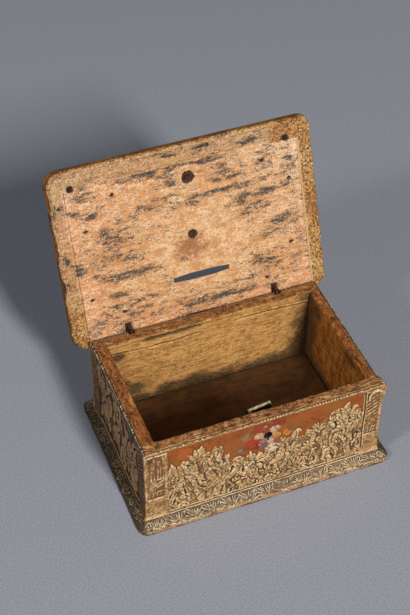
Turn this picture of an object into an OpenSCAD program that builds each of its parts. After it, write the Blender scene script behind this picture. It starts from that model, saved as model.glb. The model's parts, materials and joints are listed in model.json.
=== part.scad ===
// A hinged wooden money box faced with moulded paste reliefs, standing with its lid thrown back.
// X runs along the front, Y to the back and Z up. The origin is the middle of the underside.

/* [Body] */
// Length of the body over its end reliefs
body_length = 168; // [140:1:220]
// Depth of the body over its front and back reliefs
body_depth = 109; // [90:1:150]
// Height of the wall tops above the table
wall_top = 70; // [64:1:110]
// Thickness of the front board
front_board = 8; // [6:0.1:10]
// Thickness of the back board
back_board = 7.7; // [7:0.1:10]
// Thickness of the left board
left_board = 8.5; // [6:0.1:10]
// Thickness of the right board
right_board = 6.7; // [5:0.1:10]

/* [Plinth] */
// How far the plinth stands out past each end of the body
plinth_end_step = 7; // [5:0.5:12]
// How far the plinth stands out past the front and the back
plinth_front_step = 9; // [6:0.5:12]
// Height of the plinth's upright outer edge
plinth_edge = 2.8; // [2:0.1:4.5]
// Height of the shelf that the walls stand on
shelf_height = 6.2; // [5:0.1:7]
// Height of the floor inside
floor_height = 9; // [8:0.1:12]
// Radius of the plinth's upright corners
plinth_corner = 7; // [2:0.5:9]

/* [Reliefs] */
// Depth of the reliefs, from the boards to their highest points
relief_depth = 1.8; // [1.4:0.1:2.6]
// Thickness of the flat ground behind the relief ornament
relief_ground = 0.8; // [0.5:0.1:1.1]
// Height of the bead string along the top edge of each face
bead_height = 2.2; // [1.6:0.1:3.2]
// Width of the pilaster at the left of the front
left_pilaster_width = 15.8; // [10:0.2:20]
// Width of the pilaster at the right of the front
right_pilaster_width = 13.4; // [10:0.2:20]
// Width of the pilasters on the ends and the back
side_pilaster_width = 12; // [8:0.5:16]
// Height of the plain block at the foot of each pilaster
pilaster_block = 17; // [12:0.5:22]
// How far a pilaster's foot flares past its shaft
pilaster_flare = 1; // [0.4:0.1:1.6]
// Spacing of the ring ornaments in the reliefs
ring_pitch = 19; // [14:0.5:26]
// Width of a ring ornament's band
ring_band = 1.8; // [1:0.1:3]
// Thickness of the leaf band on the plinth
leaf_depth = 0.9; // [0.5:0.1:1.5]
// Spacing of the leaf fans on the plinth
leaf_pitch = 16.5; // [12:0.5:22]

/* [Lid] */
// How far the lid stands out past each end of the body
lid_end_overhang = 10.3; // [6:0.1:14]
// How far the lid stands out past the front
lid_front_overhang = 13.5; // [8:0.1:18]
// How far the lid stands out past the back
lid_back_overhang = 4.6; // [3:0.1:4.8]
// Thickness of the lid's board
lid_board_thickness = 5; // [4:0.1:8]
// Radius of the lid's corners
lid_corner = 9; // [3:0.5:12]
// Thickness of the skin round the lid's edge
edging_thickness = 0.8; // [0.5:0.1:1.2]
// Thickness of the relief on top of the lid
lid_relief_depth = 1.2; // [1:0.1:2]
// How far the gilt border on the lid's underside reaches in over the body's faces
border_reach = 1.5; // [0:0.1:4]
// Depth of the border, which lies flush in the board
border_depth = 0.5; // [0.3:0.1:1]
// Width of the raised frame on top of the lid
lid_frame = 8.5; // [4:0.5:12]
// How far the lid is opened from closed, in degrees
lid_open_angle = 111; // [95:1:111]
// Gap between the closed lid and the wall tops
closing_gap = 0.25; // [0.2:0.05:0.5]

/* [Coin slot] */
// Length of the coin slot
slot_length = 41; // [30:0.5:50]
// Length of the slot's middle stretch, which keeps its full width
slot_middle = 19; // [12:0.5:26]
// Width of the slot at the underside, along the middle stretch
slot_width = 4.6; // [4.4:0.1:6]
// Width of the slot at its two ends
slot_end_width = 3; // [2:0.1:4]
// Angle by which the slot's walls open towards the top
slot_flare = 23; // [21:1:30]
// Distance of the slot from the hinge line
slot_from_hinge = 27.8; // [22:0.1:40]
// Shift of the slot to the right of the middle
slot_shift = 2.7; // [-5:0.1:5]

/* [Hinges] */
// Distance between the two hinges
hinge_spacing = 108.6; // [80:0.2:120]
// Radius of the hinge wire
wire_radius = 0.7; // [0.6:0.05:0.75]
// Radius of the middle line of each hinge eye
eye_radius = 1.65; // [1.6:0.05:1.8]
// Depth of the hinge line below the wall tops
hinge_drop = 2; // [2:0.1:2.4]
// Radius of the pin that each eye ends in
hinge_pin_radius = 0.9; // [0.7:0.05:1]
// Length of the pin driven into the back board
box_pin_length = 11; // [6:0.5:12]
// Lean of the lid's pin towards the front, in degrees
lid_pin_lean = 40; // [30:1:45]
// Lean of the box's pin from straight down towards the front, in degrees
box_pin_lean = 30; // [20:1:35]

/* [Lock] */
// Radius of the keyhole
keyhole_radius = 3; // [2.95:0.05:3.6]
// Shift of the keyhole to the right of the middle
keyhole_shift = 1.6; // [-3:0.1:3]
// Depth of the keyhole's middle below the wall tops
keyhole_drop = 15.8; // [14:0.1:18]
// Length of the keyhole's slit, from its middle
keyhole_slit = 5.4; // [4:0.1:6]
// Width of the keyhole's slit
slit_width = 1.5; // [1:0.1:2]
// Outside width of the lock case
case_width = 18.4; // [17:0.1:24]
// Height of the lock case
case_height = 26; // [25:0.5:32]
// Inside depth of the lock case
case_depth = 3.6; // [3.4:0.1:5]
// Thickness of the sheet of the lock case
case_sheet = 1; // [0.8:0.1:1.2]
// Width of each nailing flange of the lock case
case_flange = 5; // [4:0.1:7]
// Length of the bolt
bolt_length = 28; // [27:0.5:32]
// Height of the bolt
bolt_height = 7; // [6:0.1:7.5]
// Thickness of the bolt
bolt_thickness = 1.8; // [1.4:0.1:2]
// Travel of the bolt
bolt_travel = 6; // [4:0.1:6]

/* [Nails] */
// Radius of the nails
nail_radius = 0.9; // [0.6:0.05:1.1]
// Distance of the nail at the lid's front left from the lid's left edge
left_nail_inset = 16.3; // [14:0.1:30]
// Distance of the nail at the lid's front right from the lid's right edge
right_nail_inset = 19.5; // [14:0.1:30]
// Radius of the nail heads that show
nail_head_radius = 1.7; // [1.4:0.1:2.2]
// Thickness of the nail heads that show
nail_head = 0.7; // [0.4:0.1:1]
// How deep a nail goes into the second board
nail_hold = 12; // [8:0.5:14]

/* [Stubs] */
// Radius of the five-sided shank left from the lid's handle
handle_radius = 2.1; // [1.5:0.1:3]
// Shift of the handle's shank to the right of the middle
handle_shift = 0.7; // [-3:0.1:3]
// Distance of the handle's shank from the hinge line
handle_from_hinge = 58.1; // [50:0.1:70]
// Radius of the recess round the stub of the lock's staple
hasp_recess_radius = 4; // [3:0.1:5]
// Depth of that recess
hasp_recess_depth = 2.2; // [1.5:0.1:3]
// Width of the staple's stub
hasp_width = 4.4; // [2.5:0.1:5]
// Thickness of the staple's stub
hasp_thickness = 2.2; // [1.5:0.1:3]

/* [Hidden] */
$fn = 48;

// Clearances and small allowances
pin_clearance = 0.05;
slide_clearance = 0.1;
eye_clearance = 0.3;
cut_margin = 1;

// Outer faces of the boards
board_x = body_length / 2 - relief_depth;
board_y = body_depth / 2 - relief_depth;
// Inner faces of the boards
inside_left = -board_x + left_board;
inside_right = board_x - right_board;
inside_front = -board_y + front_board;
inside_back = board_y - back_board;
wall_height = wall_top - shelf_height;

// Plinth
plinth_length = body_length + 2 * plinth_end_step;
plinth_depth = body_depth + 2 * plinth_front_step;

// Hinge line, which is also the lid's own origin
hinge_y = body_depth / 2;
hinge_z = wall_top - hinge_drop;
eye_outer = eye_radius + wire_radius;
pocket_width = 2 * (eye_outer + eye_clearance);
wall_pocket_reach = eye_outer + 1.1;
lid_pocket_front = 6.6;
lid_pocket_back = 1.5;
lid_pocket_depth = 2;

// Lid, in its own frame: the hinge line is the origin, the front lies towards -Y and the top towards +Z
lid_under = hinge_drop + closing_gap;
lid_length = body_length + 2 * lid_end_overhang;
lid_front = body_depth + lid_front_overhang;
lid_depth = lid_front + lid_back_overhang;
lid_middle = lid_back_overhang - lid_depth / 2;
lid_top = lid_under + lid_board_thickness;
relief_top = lid_top + lid_relief_depth;
hasp_from_hinge = hinge_y - inside_front - 1.1;
lid_nail_places = [
    [-lid_length / 2 + left_nail_inset, body_depth],
    [lid_length / 2 - right_nail_inset, body_depth]
];

// Lock: the case stands a little left of the keyhole and the staple a little right of it
lock_shift = 1;
lock_x = keyhole_shift - lock_shift;
staple_x = keyhole_shift + lock_shift;
keyhole_z = wall_top - keyhole_drop;
case_top = wall_top - 0.3;
case_bottom = case_top - case_height;
case_back = inside_front + case_depth;
bolt_bottom = keyhole_z + 3.8;
bolt_front = inside_front + case_sheet + 0.2;
bolt_left = lock_x - case_width / 2 - bolt_travel - 1.6;
staple_room = 6.6;
flange_nail_heights = [case_bottom + 4, bolt_bottom - nail_head_radius - 1];

// Reliefs
field_bottom = shelf_height;
field_top = wall_top - bead_height;
foot_height = 4.5;
panel_frame = 1.8;
panel_sink = 0.7;
collar_height = 2.2;

module rounded_rectangle(length, depth, radius) {
    hull_x = length / 2 - radius;
    hull_y = depth / 2 - radius;
    square([length, 2 * hull_y], center = true);
    square([2 * hull_x, depth], center = true);
    for (x = [-hull_x, hull_x], y = [-hull_y, hull_y]) translate([x, y]) circle(radius);
}

// A prism along X whose section is given as [y, z] points
module along_x(length, section) {
    rotate([90, 0, 90]) linear_extrude(length, center = true) polygon(section);
}

// A prism along Y whose section is given as [x, z] points
module along_y(length, section) {
    rotate([90, 0, 0]) linear_extrude(length, center = true) polygon(section);
}

// Places children on a face of the boards: x to the viewer's right, y up and z outwards
module on_face(face) {
    if (face == "front") translate([0, -board_y, 0]) rotate([90, 0, 0]) children();
    if (face == "back") translate([0, board_y, 0]) rotate([90, 0, 180]) children();
    if (face == "left") translate([-board_x, 0, 0]) rotate([90, 0, -90]) children();
    if (face == "right") translate([board_x, 0, 0]) rotate([90, 0, 90]) children();
}

// Half the length of the skin on a face: the front and back skins cover the ends of the side skins
function face_half(face) = face == "front" || face == "back" ? body_length / 2 : board_y;
function left_width(face) = face == "front" ? left_pilaster_width : side_pilaster_width;
function right_width(face) = face == "front" ? right_pilaster_width : side_pilaster_width;

// Places children in the lid's own frame, with the lid thrown open
module on_lid() {
    translate([0, hinge_y, hinge_z]) rotate([-lid_open_angle, 0, 0]) children();
}

// The plinth's outside without the raised floor, planed to a slope on all four sides
module plinth_form() {
    run = plinth_length + 2 * cut_margin;
    over = shelf_height + cut_margin;
    difference() {
        linear_extrude(shelf_height) rounded_rectangle(plinth_length, plinth_depth, plinth_corner);
        for (side = [0, 1]) mirror([0, side, 0]) along_x(run, [
            [-plinth_depth / 2 - cut_margin, plinth_edge], [-plinth_depth / 2, plinth_edge],
            [-body_depth / 2, shelf_height], [-body_depth / 2, over],
            [-plinth_depth / 2 - cut_margin, over]
        ]);
        for (side = [0, 1]) mirror([side, 0, 0]) along_y(run, [
            [-plinth_length / 2 - cut_margin, plinth_edge], [-plinth_length / 2, plinth_edge],
            [-body_length / 2, shelf_height], [-body_length / 2, over],
            [-plinth_length / 2 - cut_margin, over]
        ]);
    }
}

// Nails that hold the base board: a place and the board that each one enters
function base_nail_places() = concat(
    [for (x = [-0.36, 0.36]) [x * body_length, (-board_y + inside_front) / 2]],
    [for (x = [-0.36, 0.36]) [x * body_length, (board_y + inside_back) / 2]],
    [for (y = [-0.23, 0.23]) [(-board_x + inside_left) / 2, y * body_depth]],
    [for (y = [-0.23, 0.23]) [(board_x + inside_right) / 2, y * body_depth]]
);
module base_nail_set(extra) {
    for (place = base_nail_places()) translate([place[0], place[1], nail_head])
        cylinder(shelf_height + nail_hold - nail_head + extra, r = nail_radius + extra);
}

// Nails through the front and back boards into the ends of the side boards
module corner_nail_set(extra) {
    xs = [(-board_x + inside_left) / 2, (board_x + inside_right) / 2];
    for (x = xs, part = [0.2, 0.5, 0.8]) translate([x, 0, shelf_height + part * wall_height]) {
        translate([0, -board_y, 0]) rotate([-90, 0, 0])
            cylinder(front_board + nail_hold + extra, r = nail_radius + extra);
        translate([0, board_y, 0]) rotate([90, 0, 0])
            cylinder(back_board + nail_hold + extra, r = nail_radius + extra);
    }
}

// Nails of the lock case, driven from inside the box
module lock_nail_set(extra) {
    x_out = case_width / 2 + case_flange / 2;
    for (x = [lock_x - x_out, lock_x + x_out], z = flange_nail_heights)
        translate([x, inside_front + case_sheet, z]) rotate([90, 0, 0]) {
            cylinder(front_board - cut_margin + extra, r = nail_radius + extra);
            if (extra == 0) translate([0, 0, -nail_head]) cylinder(nail_head, r = nail_head_radius);
        }
}

// The keyhole: a round hole with a slit below it for the key's bit
module keyhole(depth) {
    translate([keyhole_shift, -body_depth / 2 - cut_margin, keyhole_z]) {
        rotate([-90, 0, 0]) cylinder(depth, r = keyhole_radius);
        translate([-slit_width / 2, 0, -keyhole_slit]) cube([slit_width, depth, keyhole_slit]);
    }
}

// The notch in the back wall's top edge round one hinge, with the bore of its pin
module wall_pockets() {
    for (side = [-1, 1]) translate([side * hinge_spacing / 2, hinge_y, hinge_z]) {
        translate([-pocket_width / 2, -wall_pocket_reach, -eye_outer - eye_clearance])
            cube([pocket_width, wall_pocket_reach + cut_margin, hinge_drop + eye_outer + 2 * cut_margin]);
        rotate([180 - box_pin_lean, 0, 0])
            cylinder(eye_outer + box_pin_length + 2 * pin_clearance, r = hinge_pin_radius + pin_clearance);
    }
}

module base_board() {
    color("#6b4a2c") difference() {
        union() {
            plinth_form();
            translate([inside_left, inside_front, 0])
                cube([inside_right - inside_left, inside_back - inside_front, floor_height]);
        }
        base_nail_set(pin_clearance);
        for (place = base_nail_places()) translate([place[0], place[1], -cut_margin])
            cylinder(nail_head + 2 * cut_margin, r = nail_radius + pin_clearance);
    }
}

module front_wall() {
    color("#a4672f") difference() {
        translate([-board_x, -board_y, shelf_height]) cube([2 * board_x, front_board, wall_height]);
        keyhole(body_depth / 2 + inside_front + 2 * cut_margin);
        base_nail_set(pin_clearance);
        corner_nail_set(pin_clearance);
        lock_nail_set(pin_clearance);
    }
}

module back_wall() {
    color("#a4672f") difference() {
        translate([-board_x, inside_back, shelf_height]) cube([2 * board_x, back_board, wall_height]);
        wall_pockets();
        base_nail_set(pin_clearance);
        corner_nail_set(pin_clearance);
    }
}

module left_wall() {
    color("#9a602c") difference() {
        translate([-board_x, inside_front, shelf_height])
            cube([left_board, inside_back - inside_front, wall_height]);
        base_nail_set(pin_clearance);
        corner_nail_set(pin_clearance);
    }
}

module right_wall() {
    color("#9a602c") difference() {
        translate([inside_right, inside_front, shelf_height])
            cube([right_board, inside_back - inside_front, wall_height]);
        base_nail_set(pin_clearance);
        corner_nail_set(pin_clearance);
    }
}

// One ring ornament with a boss in its middle, standing on the relief's ground
module ring_ornament(radius, rise) {
    difference() {
        cylinder(rise, r = radius);
        translate([0, 0, -cut_margin]) cylinder(rise + 2 * cut_margin, r = radius - ring_band);
    }
    cylinder(rise, r = radius / 3);
}

// The moulded relief between the pilasters: a ground, rings in rows and leaf tips above them
module relief_field(face) {
    left = -face_half(face) + left_width(face);
    right = face_half(face) - right_width(face);
    columns = floor((right - left) / ring_pitch);
    step = (right - left) / columns;
    rows = 2;
    row_step = (field_top - field_bottom) / (rows + 1);
    ring_radius = min(step, row_step) / 2 - 0.6;
    tip_radius = step / 6;
    on_face(face) {
        translate([left, field_bottom, 0]) cube([right - left, field_top - field_bottom, relief_ground]);
        for (i = [0 : columns - 1]) translate([left + (i + 0.5) * step, 0, 0]) {
            for (j = [0 : rows - 1]) translate([0, field_bottom + (j + 0.5) * row_step, 0])
                ring_ornament(ring_radius, relief_depth);
            translate([0, field_bottom + (rows + 0.35) * row_step, 0])
                cylinder(relief_depth - 0.3, r = tip_radius);
        }
    }
}

// One pilaster: a framed panel with a rib, a collar, a plain block and a flared foot
module pilaster(width, outer_side) {
    height = field_top - field_bottom;
    panel_width = width - 2 * panel_frame;
    panel_height = height - pilaster_block - collar_height - 2 * panel_frame;
    translate([0, field_bottom, 0]) {
        difference() {
            cube([width, height, relief_depth]);
            translate([panel_frame, pilaster_block + collar_height + panel_frame, relief_depth - panel_sink])
                cube([panel_width, panel_height, relief_depth]);
            translate([-cut_margin, pilaster_block - 0.9, relief_depth - panel_sink])
                cube([width + 2 * cut_margin, 0.9, relief_depth]);
        }
        translate([width / 2 - 0.8, pilaster_block + collar_height + panel_frame, 0])
            cube([1.6, panel_height, relief_depth]);
        translate([outer_side < 0 ? -pilaster_flare : 0, 0, 0])
            cube([width + pilaster_flare, foot_height, relief_depth + pilaster_flare]);
    }
}

// Both pilasters of a face; on the side faces the feet keep clear of the front and back ones
module pilaster_pair(face) {
    reach = face == "front" || face == "back" ? 1 : 0;
    half = face_half(face);
    on_face(face) {
        intersection() {
            union() {
                translate([-half, 0, 0]) pilaster(left_width(face), -1);
                translate([half - right_width(face), 0, 0]) pilaster(right_width(face), 1);
            }
            translate([-half - reach * pilaster_flare, field_bottom, 0])
                cube([2 * (half + reach * pilaster_flare), wall_top, relief_depth + pilaster_flare]);
        }
    }
}

// The string of beads along the top edge of a face, as the half-round strip that carries them
module bead_string(face) {
    half = face_half(face);
    on_face(face) translate([-half, field_top, 0]) intersection() {
        cube([2 * half, bead_height, relief_depth]);
        translate([0, bead_height / 2, 0]) rotate([0, 90, 0]) string_round(2 * half);
    }
}

// A round bar wide enough to fill the bead string's height at its back and its depth at its crown
module string_round(length) {
    radius = (pow(bead_height / 2, 2) + pow(relief_depth, 2)) / (2 * relief_depth);
    translate([radius - relief_depth, 0, 0]) cylinder(length, r = radius);
}

// The skin over the plinth's slope that the leaf fans are cut from
module leaf_shell() {
    difference() {
        translate([0, 0, leaf_depth]) plinth_form();
        plinth_form();
        translate([-body_length / 2 - pilaster_flare, -body_depth / 2 - pilaster_flare, 0])
            cube([body_length + 2 * pilaster_flare, body_depth + 2 * pilaster_flare, 3 * shelf_height]);
    }
}

// Leaf fans along one straight side, each a half disc with its centre on the plinth's edge
module leaf_fans(length, from_middle, reach) {
    count = floor(length / leaf_pitch);
    step = length / count;
    for (i = [0 : count - 1]) translate([(i + 0.5) * step - length / 2, -from_middle, 0])
        cylinder(2 * shelf_height, r = step / 2 + 0.2);
    translate([-length / 2, -from_middle, 0]) cube([length, reach / 4, 2 * shelf_height]);
}

module leaf_band(face) {
    color("#8f8163") intersection() {
        leaf_shell();
        if (face == "front") leaf_fans(body_length, plinth_depth / 2, plinth_front_step);
        if (face == "back") rotate([0, 0, 180])
            leaf_fans(body_length, plinth_depth / 2, plinth_front_step);
        if (face == "left") rotate([0, 0, -90])
            leaf_fans(body_depth, plinth_length / 2, plinth_end_step);
        if (face == "right") rotate([0, 0, 90])
            leaf_fans(body_depth, plinth_length / 2, plinth_end_step);
    }
}

module front_relief() {
    color("#c9a878") difference() {
        relief_field("front");
        keyhole(relief_depth + 2 * cut_margin);
    }
}
module back_relief() {
    color("#b59565") difference() {
        relief_field("back");
        wall_pockets();
    }
}
module left_relief() { color("#8d7a5c") relief_field("left"); }
module right_relief() { color("#b59565") relief_field("right"); }

module front_pilasters() { color("#cdb593") pilaster_pair("front"); }
module back_pilasters() { color("#b59565") pilaster_pair("back"); }
module left_pilasters() { color("#8d7a5c") pilaster_pair("left"); }
module right_pilasters() { color("#b59565") pilaster_pair("right"); }

module front_beads() { color("#dcc79c") bead_string("front"); }
module back_beads() {
    color("#c0a876") difference() {
        bead_string("back");
        wall_pockets();
    }
}
module left_beads() { color("#dcd3bd") bead_string("left"); }
module right_beads() { color("#c0a876") bead_string("right"); }

module front_leaves() { leaf_band("front"); }
module back_leaves() { leaf_band("back"); }
module left_leaves() { leaf_band("left"); }
module right_leaves() { leaf_band("right"); }

// The lid's outline at a given inset, as a flat shape in the lid's own frame
module lid_outline(inset) {
    translate([0, lid_middle]) rounded_rectangle(lid_length - 2 * inset, lid_depth - 2 * inset, lid_corner - inset);
}

// The coin slot: narrow below, opening towards the top and tapering to its ends
module coin_slot() {
    rise = relief_top - lid_under + 2 * cut_margin;
    spread = tan(slot_flare);
    bottom = lid_under - cut_margin;
    hull() for (level = [0, rise]) {
        grow = (level - cut_margin) * spread;
        translate([slot_shift, -slot_from_hinge, bottom + level]) linear_extrude(0.01) polygon([
            [-slot_length / 2, -slot_end_width / 2 - grow], [-slot_middle / 2, -slot_width / 2 - grow],
            [slot_middle / 2, -slot_width / 2 - grow], [slot_length / 2, -slot_end_width / 2 - grow],
            [slot_length / 2, slot_end_width / 2 + grow], [slot_middle / 2, slot_width / 2 + grow],
            [-slot_middle / 2, slot_width / 2 + grow], [-slot_length / 2, slot_end_width / 2 + grow]
        ]);
    }
}

// Bores of the two hinge pins in the lid, leaning towards the front
module lid_pin_bores() {
    for (side = [-1, 1]) translate([side * hinge_spacing / 2, 0, 0]) rotate([lid_pin_lean, 0, 0])
        cylinder(2 * relief_top, r = hinge_pin_radius + pin_clearance);
}

module lid_nail_set(extra) {
    for (place = lid_nail_places) translate([place[0], -place[1], lid_under]) {
        translate([0, 0, extra > 0 ? -cut_margin : 0])
            cylinder(relief_top - lid_under + (extra > 0 ? 2 * cut_margin : 0), r = nail_radius + extra);
        if (extra == 0) translate([0, 0, relief_top - lid_under]) cylinder(nail_head, r = nail_head_radius);
    }
}

module handle_shank(bottom, height, extra) {
    translate([handle_shift, -handle_from_hinge, bottom]) cylinder(height, r = handle_radius + extra, $fn = 5);
}

module hasp_shank(bottom, height, extra) {
    translate([staple_x - hasp_width / 2 - extra, -hasp_from_hinge - hasp_thickness / 2 - extra, bottom])
        cube([hasp_width + 2 * extra, hasp_thickness + 2 * extra, height]);
}

module border_shape() {
    inner_x = body_length / 2 - border_reach;
    inner_front = body_depth - border_reach;
    difference() {
        lid_outline(edging_thickness);
        translate([-inner_x, -inner_front]) square([2 * inner_x, inner_front + lid_depth]);
    }
}

module lid_board() {
    color("#d8a878") on_lid() difference() {
        translate([0, 0, lid_under]) linear_extrude(lid_board_thickness) lid_outline(edging_thickness);
        translate([0, 0, lid_under - cut_margin]) linear_extrude(border_depth + cut_margin) border_shape();
        coin_slot();
        for (side = [-1, 1])
            translate([side * hinge_spacing / 2 - pocket_width / 2, -lid_pocket_front, lid_under - cut_margin])
                cube([pocket_width, lid_pocket_front + lid_pocket_back, lid_pocket_depth + cut_margin]);
        lid_pin_bores();
        lid_nail_set(pin_clearance);
        handle_shank(lid_under - cut_margin, lid_board_thickness + 2 * cut_margin, pin_clearance);
        hasp_shank(lid_under - cut_margin, lid_board_thickness + 2 * cut_margin, pin_clearance);
        translate([staple_x, -hasp_from_hinge, lid_under - cut_margin])
            cylinder(hasp_recess_depth + cut_margin, r = hasp_recess_radius);
    }
}

module lid_edging() {
    color("#b0793c") on_lid() translate([0, 0, lid_under]) linear_extrude(lid_board_thickness) difference() {
        lid_outline(0);
        lid_outline(edging_thickness);
    }
}

module lid_border() {
    color("#c39a55") on_lid() difference() {
        translate([0, 0, lid_under]) linear_extrude(border_depth) border_shape();
        lid_nail_set(pin_clearance);
    }
}

// The relief on top of the lid: a ground, a raised frame and two rows of rings, one of them
// centred on the handle
module lid_relief() {
    ground = lid_relief_depth / 2;
    field_length = lid_length - 4 * lid_frame;
    columns = 2 * floor((field_length / ring_pitch - 1) / 2) + 1;
    step = field_length / columns;
    ring_radius = ring_pitch / 2 - ring_band;
    color("#c39a55") on_lid() difference() {
        translate([0, 0, lid_top]) {
            linear_extrude(ground) lid_outline(0);
            linear_extrude(lid_relief_depth) difference() {
                lid_outline(0);
                lid_outline(lid_frame);
            }
            for (i = [0 : columns - 1], row = [0, 1])
                translate([
                    handle_shift + (i + 0.5 - columns / 2) * step,
                    -handle_from_hinge - row * 1.6 * ring_pitch,
                    0
                ]) ring_ornament(ring_radius, lid_relief_depth);
        }
        coin_slot();
        lid_pin_bores();
        lid_nail_set(pin_clearance);
        handle_shank(lid_under, relief_top, pin_clearance);
    }
}

module eye_ring() {
    rotate_extrude() translate([eye_radius, 0]) circle(wire_radius, $fn = 32);
}

// The eye fixed in the back board: it stands upright across the hinge line
module hinge_box_eye(side) {
    color("#2f2b28") translate([side * hinge_spacing / 2, hinge_y, hinge_z]) {
        rotate([0, 90, 0]) eye_ring();
        rotate([180 - box_pin_lean, 0, 0]) translate([0, 0, eye_radius])
            cylinder(wire_radius + box_pin_length, r = hinge_pin_radius);
    }
}

// The eye fixed in the lid: its wire runs along the hinge line, through the other eye
module hinge_lid_eye(side) {
    pin_end = (lid_top + 0.5 * lid_relief_depth) / cos(lid_pin_lean);
    color("#2f2b28") on_lid() translate([side * hinge_spacing / 2, 0, 0]) rotate([lid_pin_lean, 0, 0]) {
        translate([0, 0, eye_radius]) rotate([90, 0, 0]) eye_ring();
        translate([0, 0, 2 * eye_radius]) cylinder(pin_end - 2 * eye_radius, r = hinge_pin_radius);
    }
}

module left_hinge_box_eye() { hinge_box_eye(-1); }
module left_hinge_lid_eye() { hinge_lid_eye(-1); }
module right_hinge_box_eye() { hinge_box_eye(1); }
module right_hinge_lid_eye() { hinge_lid_eye(1); }

module lid_nails() { color("#3a3330") on_lid() lid_nail_set(0); }

// What is left of the lock's staple: a flat iron shank broken off in its recess
module hasp_stub() {
    color("#3a3330") on_lid() hasp_shank(lid_under + 0.6, lid_board_thickness - 0.6, 0);
}

// What is left of the handle: a five-sided iron shank, broken off just above the lid
module handle_stub() {
    color("#3a3330") on_lid() handle_shank(lid_under + 0.5, relief_top - lid_under + 1.5, 0);
}

// The lock case: an open-topped sheet channel with a nailing flange at each side
module lock_case() {
    outer = case_width / 2;
    slot_low = bolt_bottom - slide_clearance;
    color("#6b6455") difference() {
        translate([lock_x, 0, case_bottom]) {
            translate([-outer, inside_front, 0]) cube([case_width, case_depth + case_sheet, case_height]);
            translate([-outer - case_flange, inside_front, 0])
                cube([case_width + 2 * case_flange, case_sheet, case_height - case_flange]);
        }
        translate([lock_x - outer + case_sheet, inside_front - cut_margin, case_bottom + case_sheet])
            cube([case_width - 2 * case_sheet, case_depth + cut_margin, case_height + cut_margin]);
        translate([lock_x - case_width, bolt_front - slide_clearance, slot_low])
            cube([2 * case_width, bolt_thickness + 2 * slide_clearance, bolt_height + 2 * slide_clearance]);
        lock_nail_set(pin_clearance);
    }
}

// The bolt: a flat bar through both sides of the case, with a hooked notch for the staple
module lock_bolt() {
    notch_left = staple_x - staple_room / 2;
    finger = 2.2;
    color("#4a443c") difference() {
        translate([bolt_left, bolt_front, bolt_bottom]) cube([bolt_length, bolt_thickness, bolt_height]);
        translate([notch_left, bolt_front - cut_margin, bolt_bottom + 1.8])
            cube([staple_room, bolt_thickness + 2 * cut_margin, bolt_height]);
        translate([notch_left - bolt_travel + 1, bolt_front - cut_margin, bolt_bottom + 1.8])
            cube([bolt_travel, bolt_thickness + 2 * cut_margin, bolt_height - 1.8 - finger]);
    }
}

// The leaf spring that keeps the bolt where it is put, fixed to the case's left side
module bolt_spring() {
    leaf = 0.5;
    left = lock_x - case_width / 2 + case_sheet;
    low = bolt_bottom + bolt_height + slide_clearance;
    color("#5a5348") translate([0, bolt_front + bolt_thickness / 2, 0]) along_y(bolt_thickness, [
        [left, low + 1.9], [left, low + 3.2], [left + 0.8, low + 3.2], [left + 0.8, low + 1.9 + leaf],
        [left + 4.6, low + leaf], [left + 5.6, low + 2 * leaf], [left + 5.6, low + leaf],
        [left + 4.8, low], [left + 4.2, low]
    ]);
}

// The pin that a hollow key turns on, riveted to the case
module key_pin() {
    color("#6b6455") translate([keyhole_shift, case_back, keyhole_z]) rotate([90, 0, 0])
        cylinder(case_depth - 0.6, r = 0.9);
}

module lock_nails() { color("#3a3330") lock_nail_set(0); }
module corner_nails() { color("#3a3330") corner_nail_set(0); }
module base_nails() { color("#3a3330") base_nail_set(0); }

base_board();
front_wall();
back_wall();
left_wall();
right_wall();
front_relief();
back_relief();
left_relief();
right_relief();
front_pilasters();
back_pilasters();
left_pilasters();
right_pilasters();
front_beads();
back_beads();
left_beads();
right_beads();
front_leaves();
back_leaves();
left_leaves();
right_leaves();
lid_board();
lid_edging();
lid_border();
lid_relief();
left_hinge_box_eye();
left_hinge_lid_eye();
right_hinge_box_eye();
right_hinge_lid_eye();
lid_nails();
hasp_stub();
handle_stub();
lock_case();
lock_bolt();
bolt_spring();
key_pin();
lock_nails();
corner_nails();
base_nails();
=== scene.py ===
import json
import math

import bmesh
import bpy
import numpy as np
from mathutils import Matrix, Vector


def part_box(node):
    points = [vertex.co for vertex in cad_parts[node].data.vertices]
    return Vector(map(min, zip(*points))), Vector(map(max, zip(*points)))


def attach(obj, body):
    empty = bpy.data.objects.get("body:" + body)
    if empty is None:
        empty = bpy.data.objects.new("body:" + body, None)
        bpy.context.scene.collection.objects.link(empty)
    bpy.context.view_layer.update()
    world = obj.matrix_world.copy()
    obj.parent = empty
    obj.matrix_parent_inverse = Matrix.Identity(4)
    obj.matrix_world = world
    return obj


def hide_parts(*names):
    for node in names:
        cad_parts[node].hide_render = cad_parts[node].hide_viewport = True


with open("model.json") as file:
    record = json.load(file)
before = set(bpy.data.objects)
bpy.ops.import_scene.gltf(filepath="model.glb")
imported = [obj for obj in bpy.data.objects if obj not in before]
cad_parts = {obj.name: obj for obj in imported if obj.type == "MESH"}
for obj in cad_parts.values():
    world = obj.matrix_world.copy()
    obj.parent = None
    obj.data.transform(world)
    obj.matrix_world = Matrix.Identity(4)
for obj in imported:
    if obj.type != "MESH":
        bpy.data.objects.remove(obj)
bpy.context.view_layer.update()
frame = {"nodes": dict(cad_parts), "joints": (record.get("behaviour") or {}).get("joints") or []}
mm = 0.001


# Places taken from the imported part, in millimetres

def span(node):
    low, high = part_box(node)
    return np.array(low) / mm, np.array(high) / mm


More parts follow.
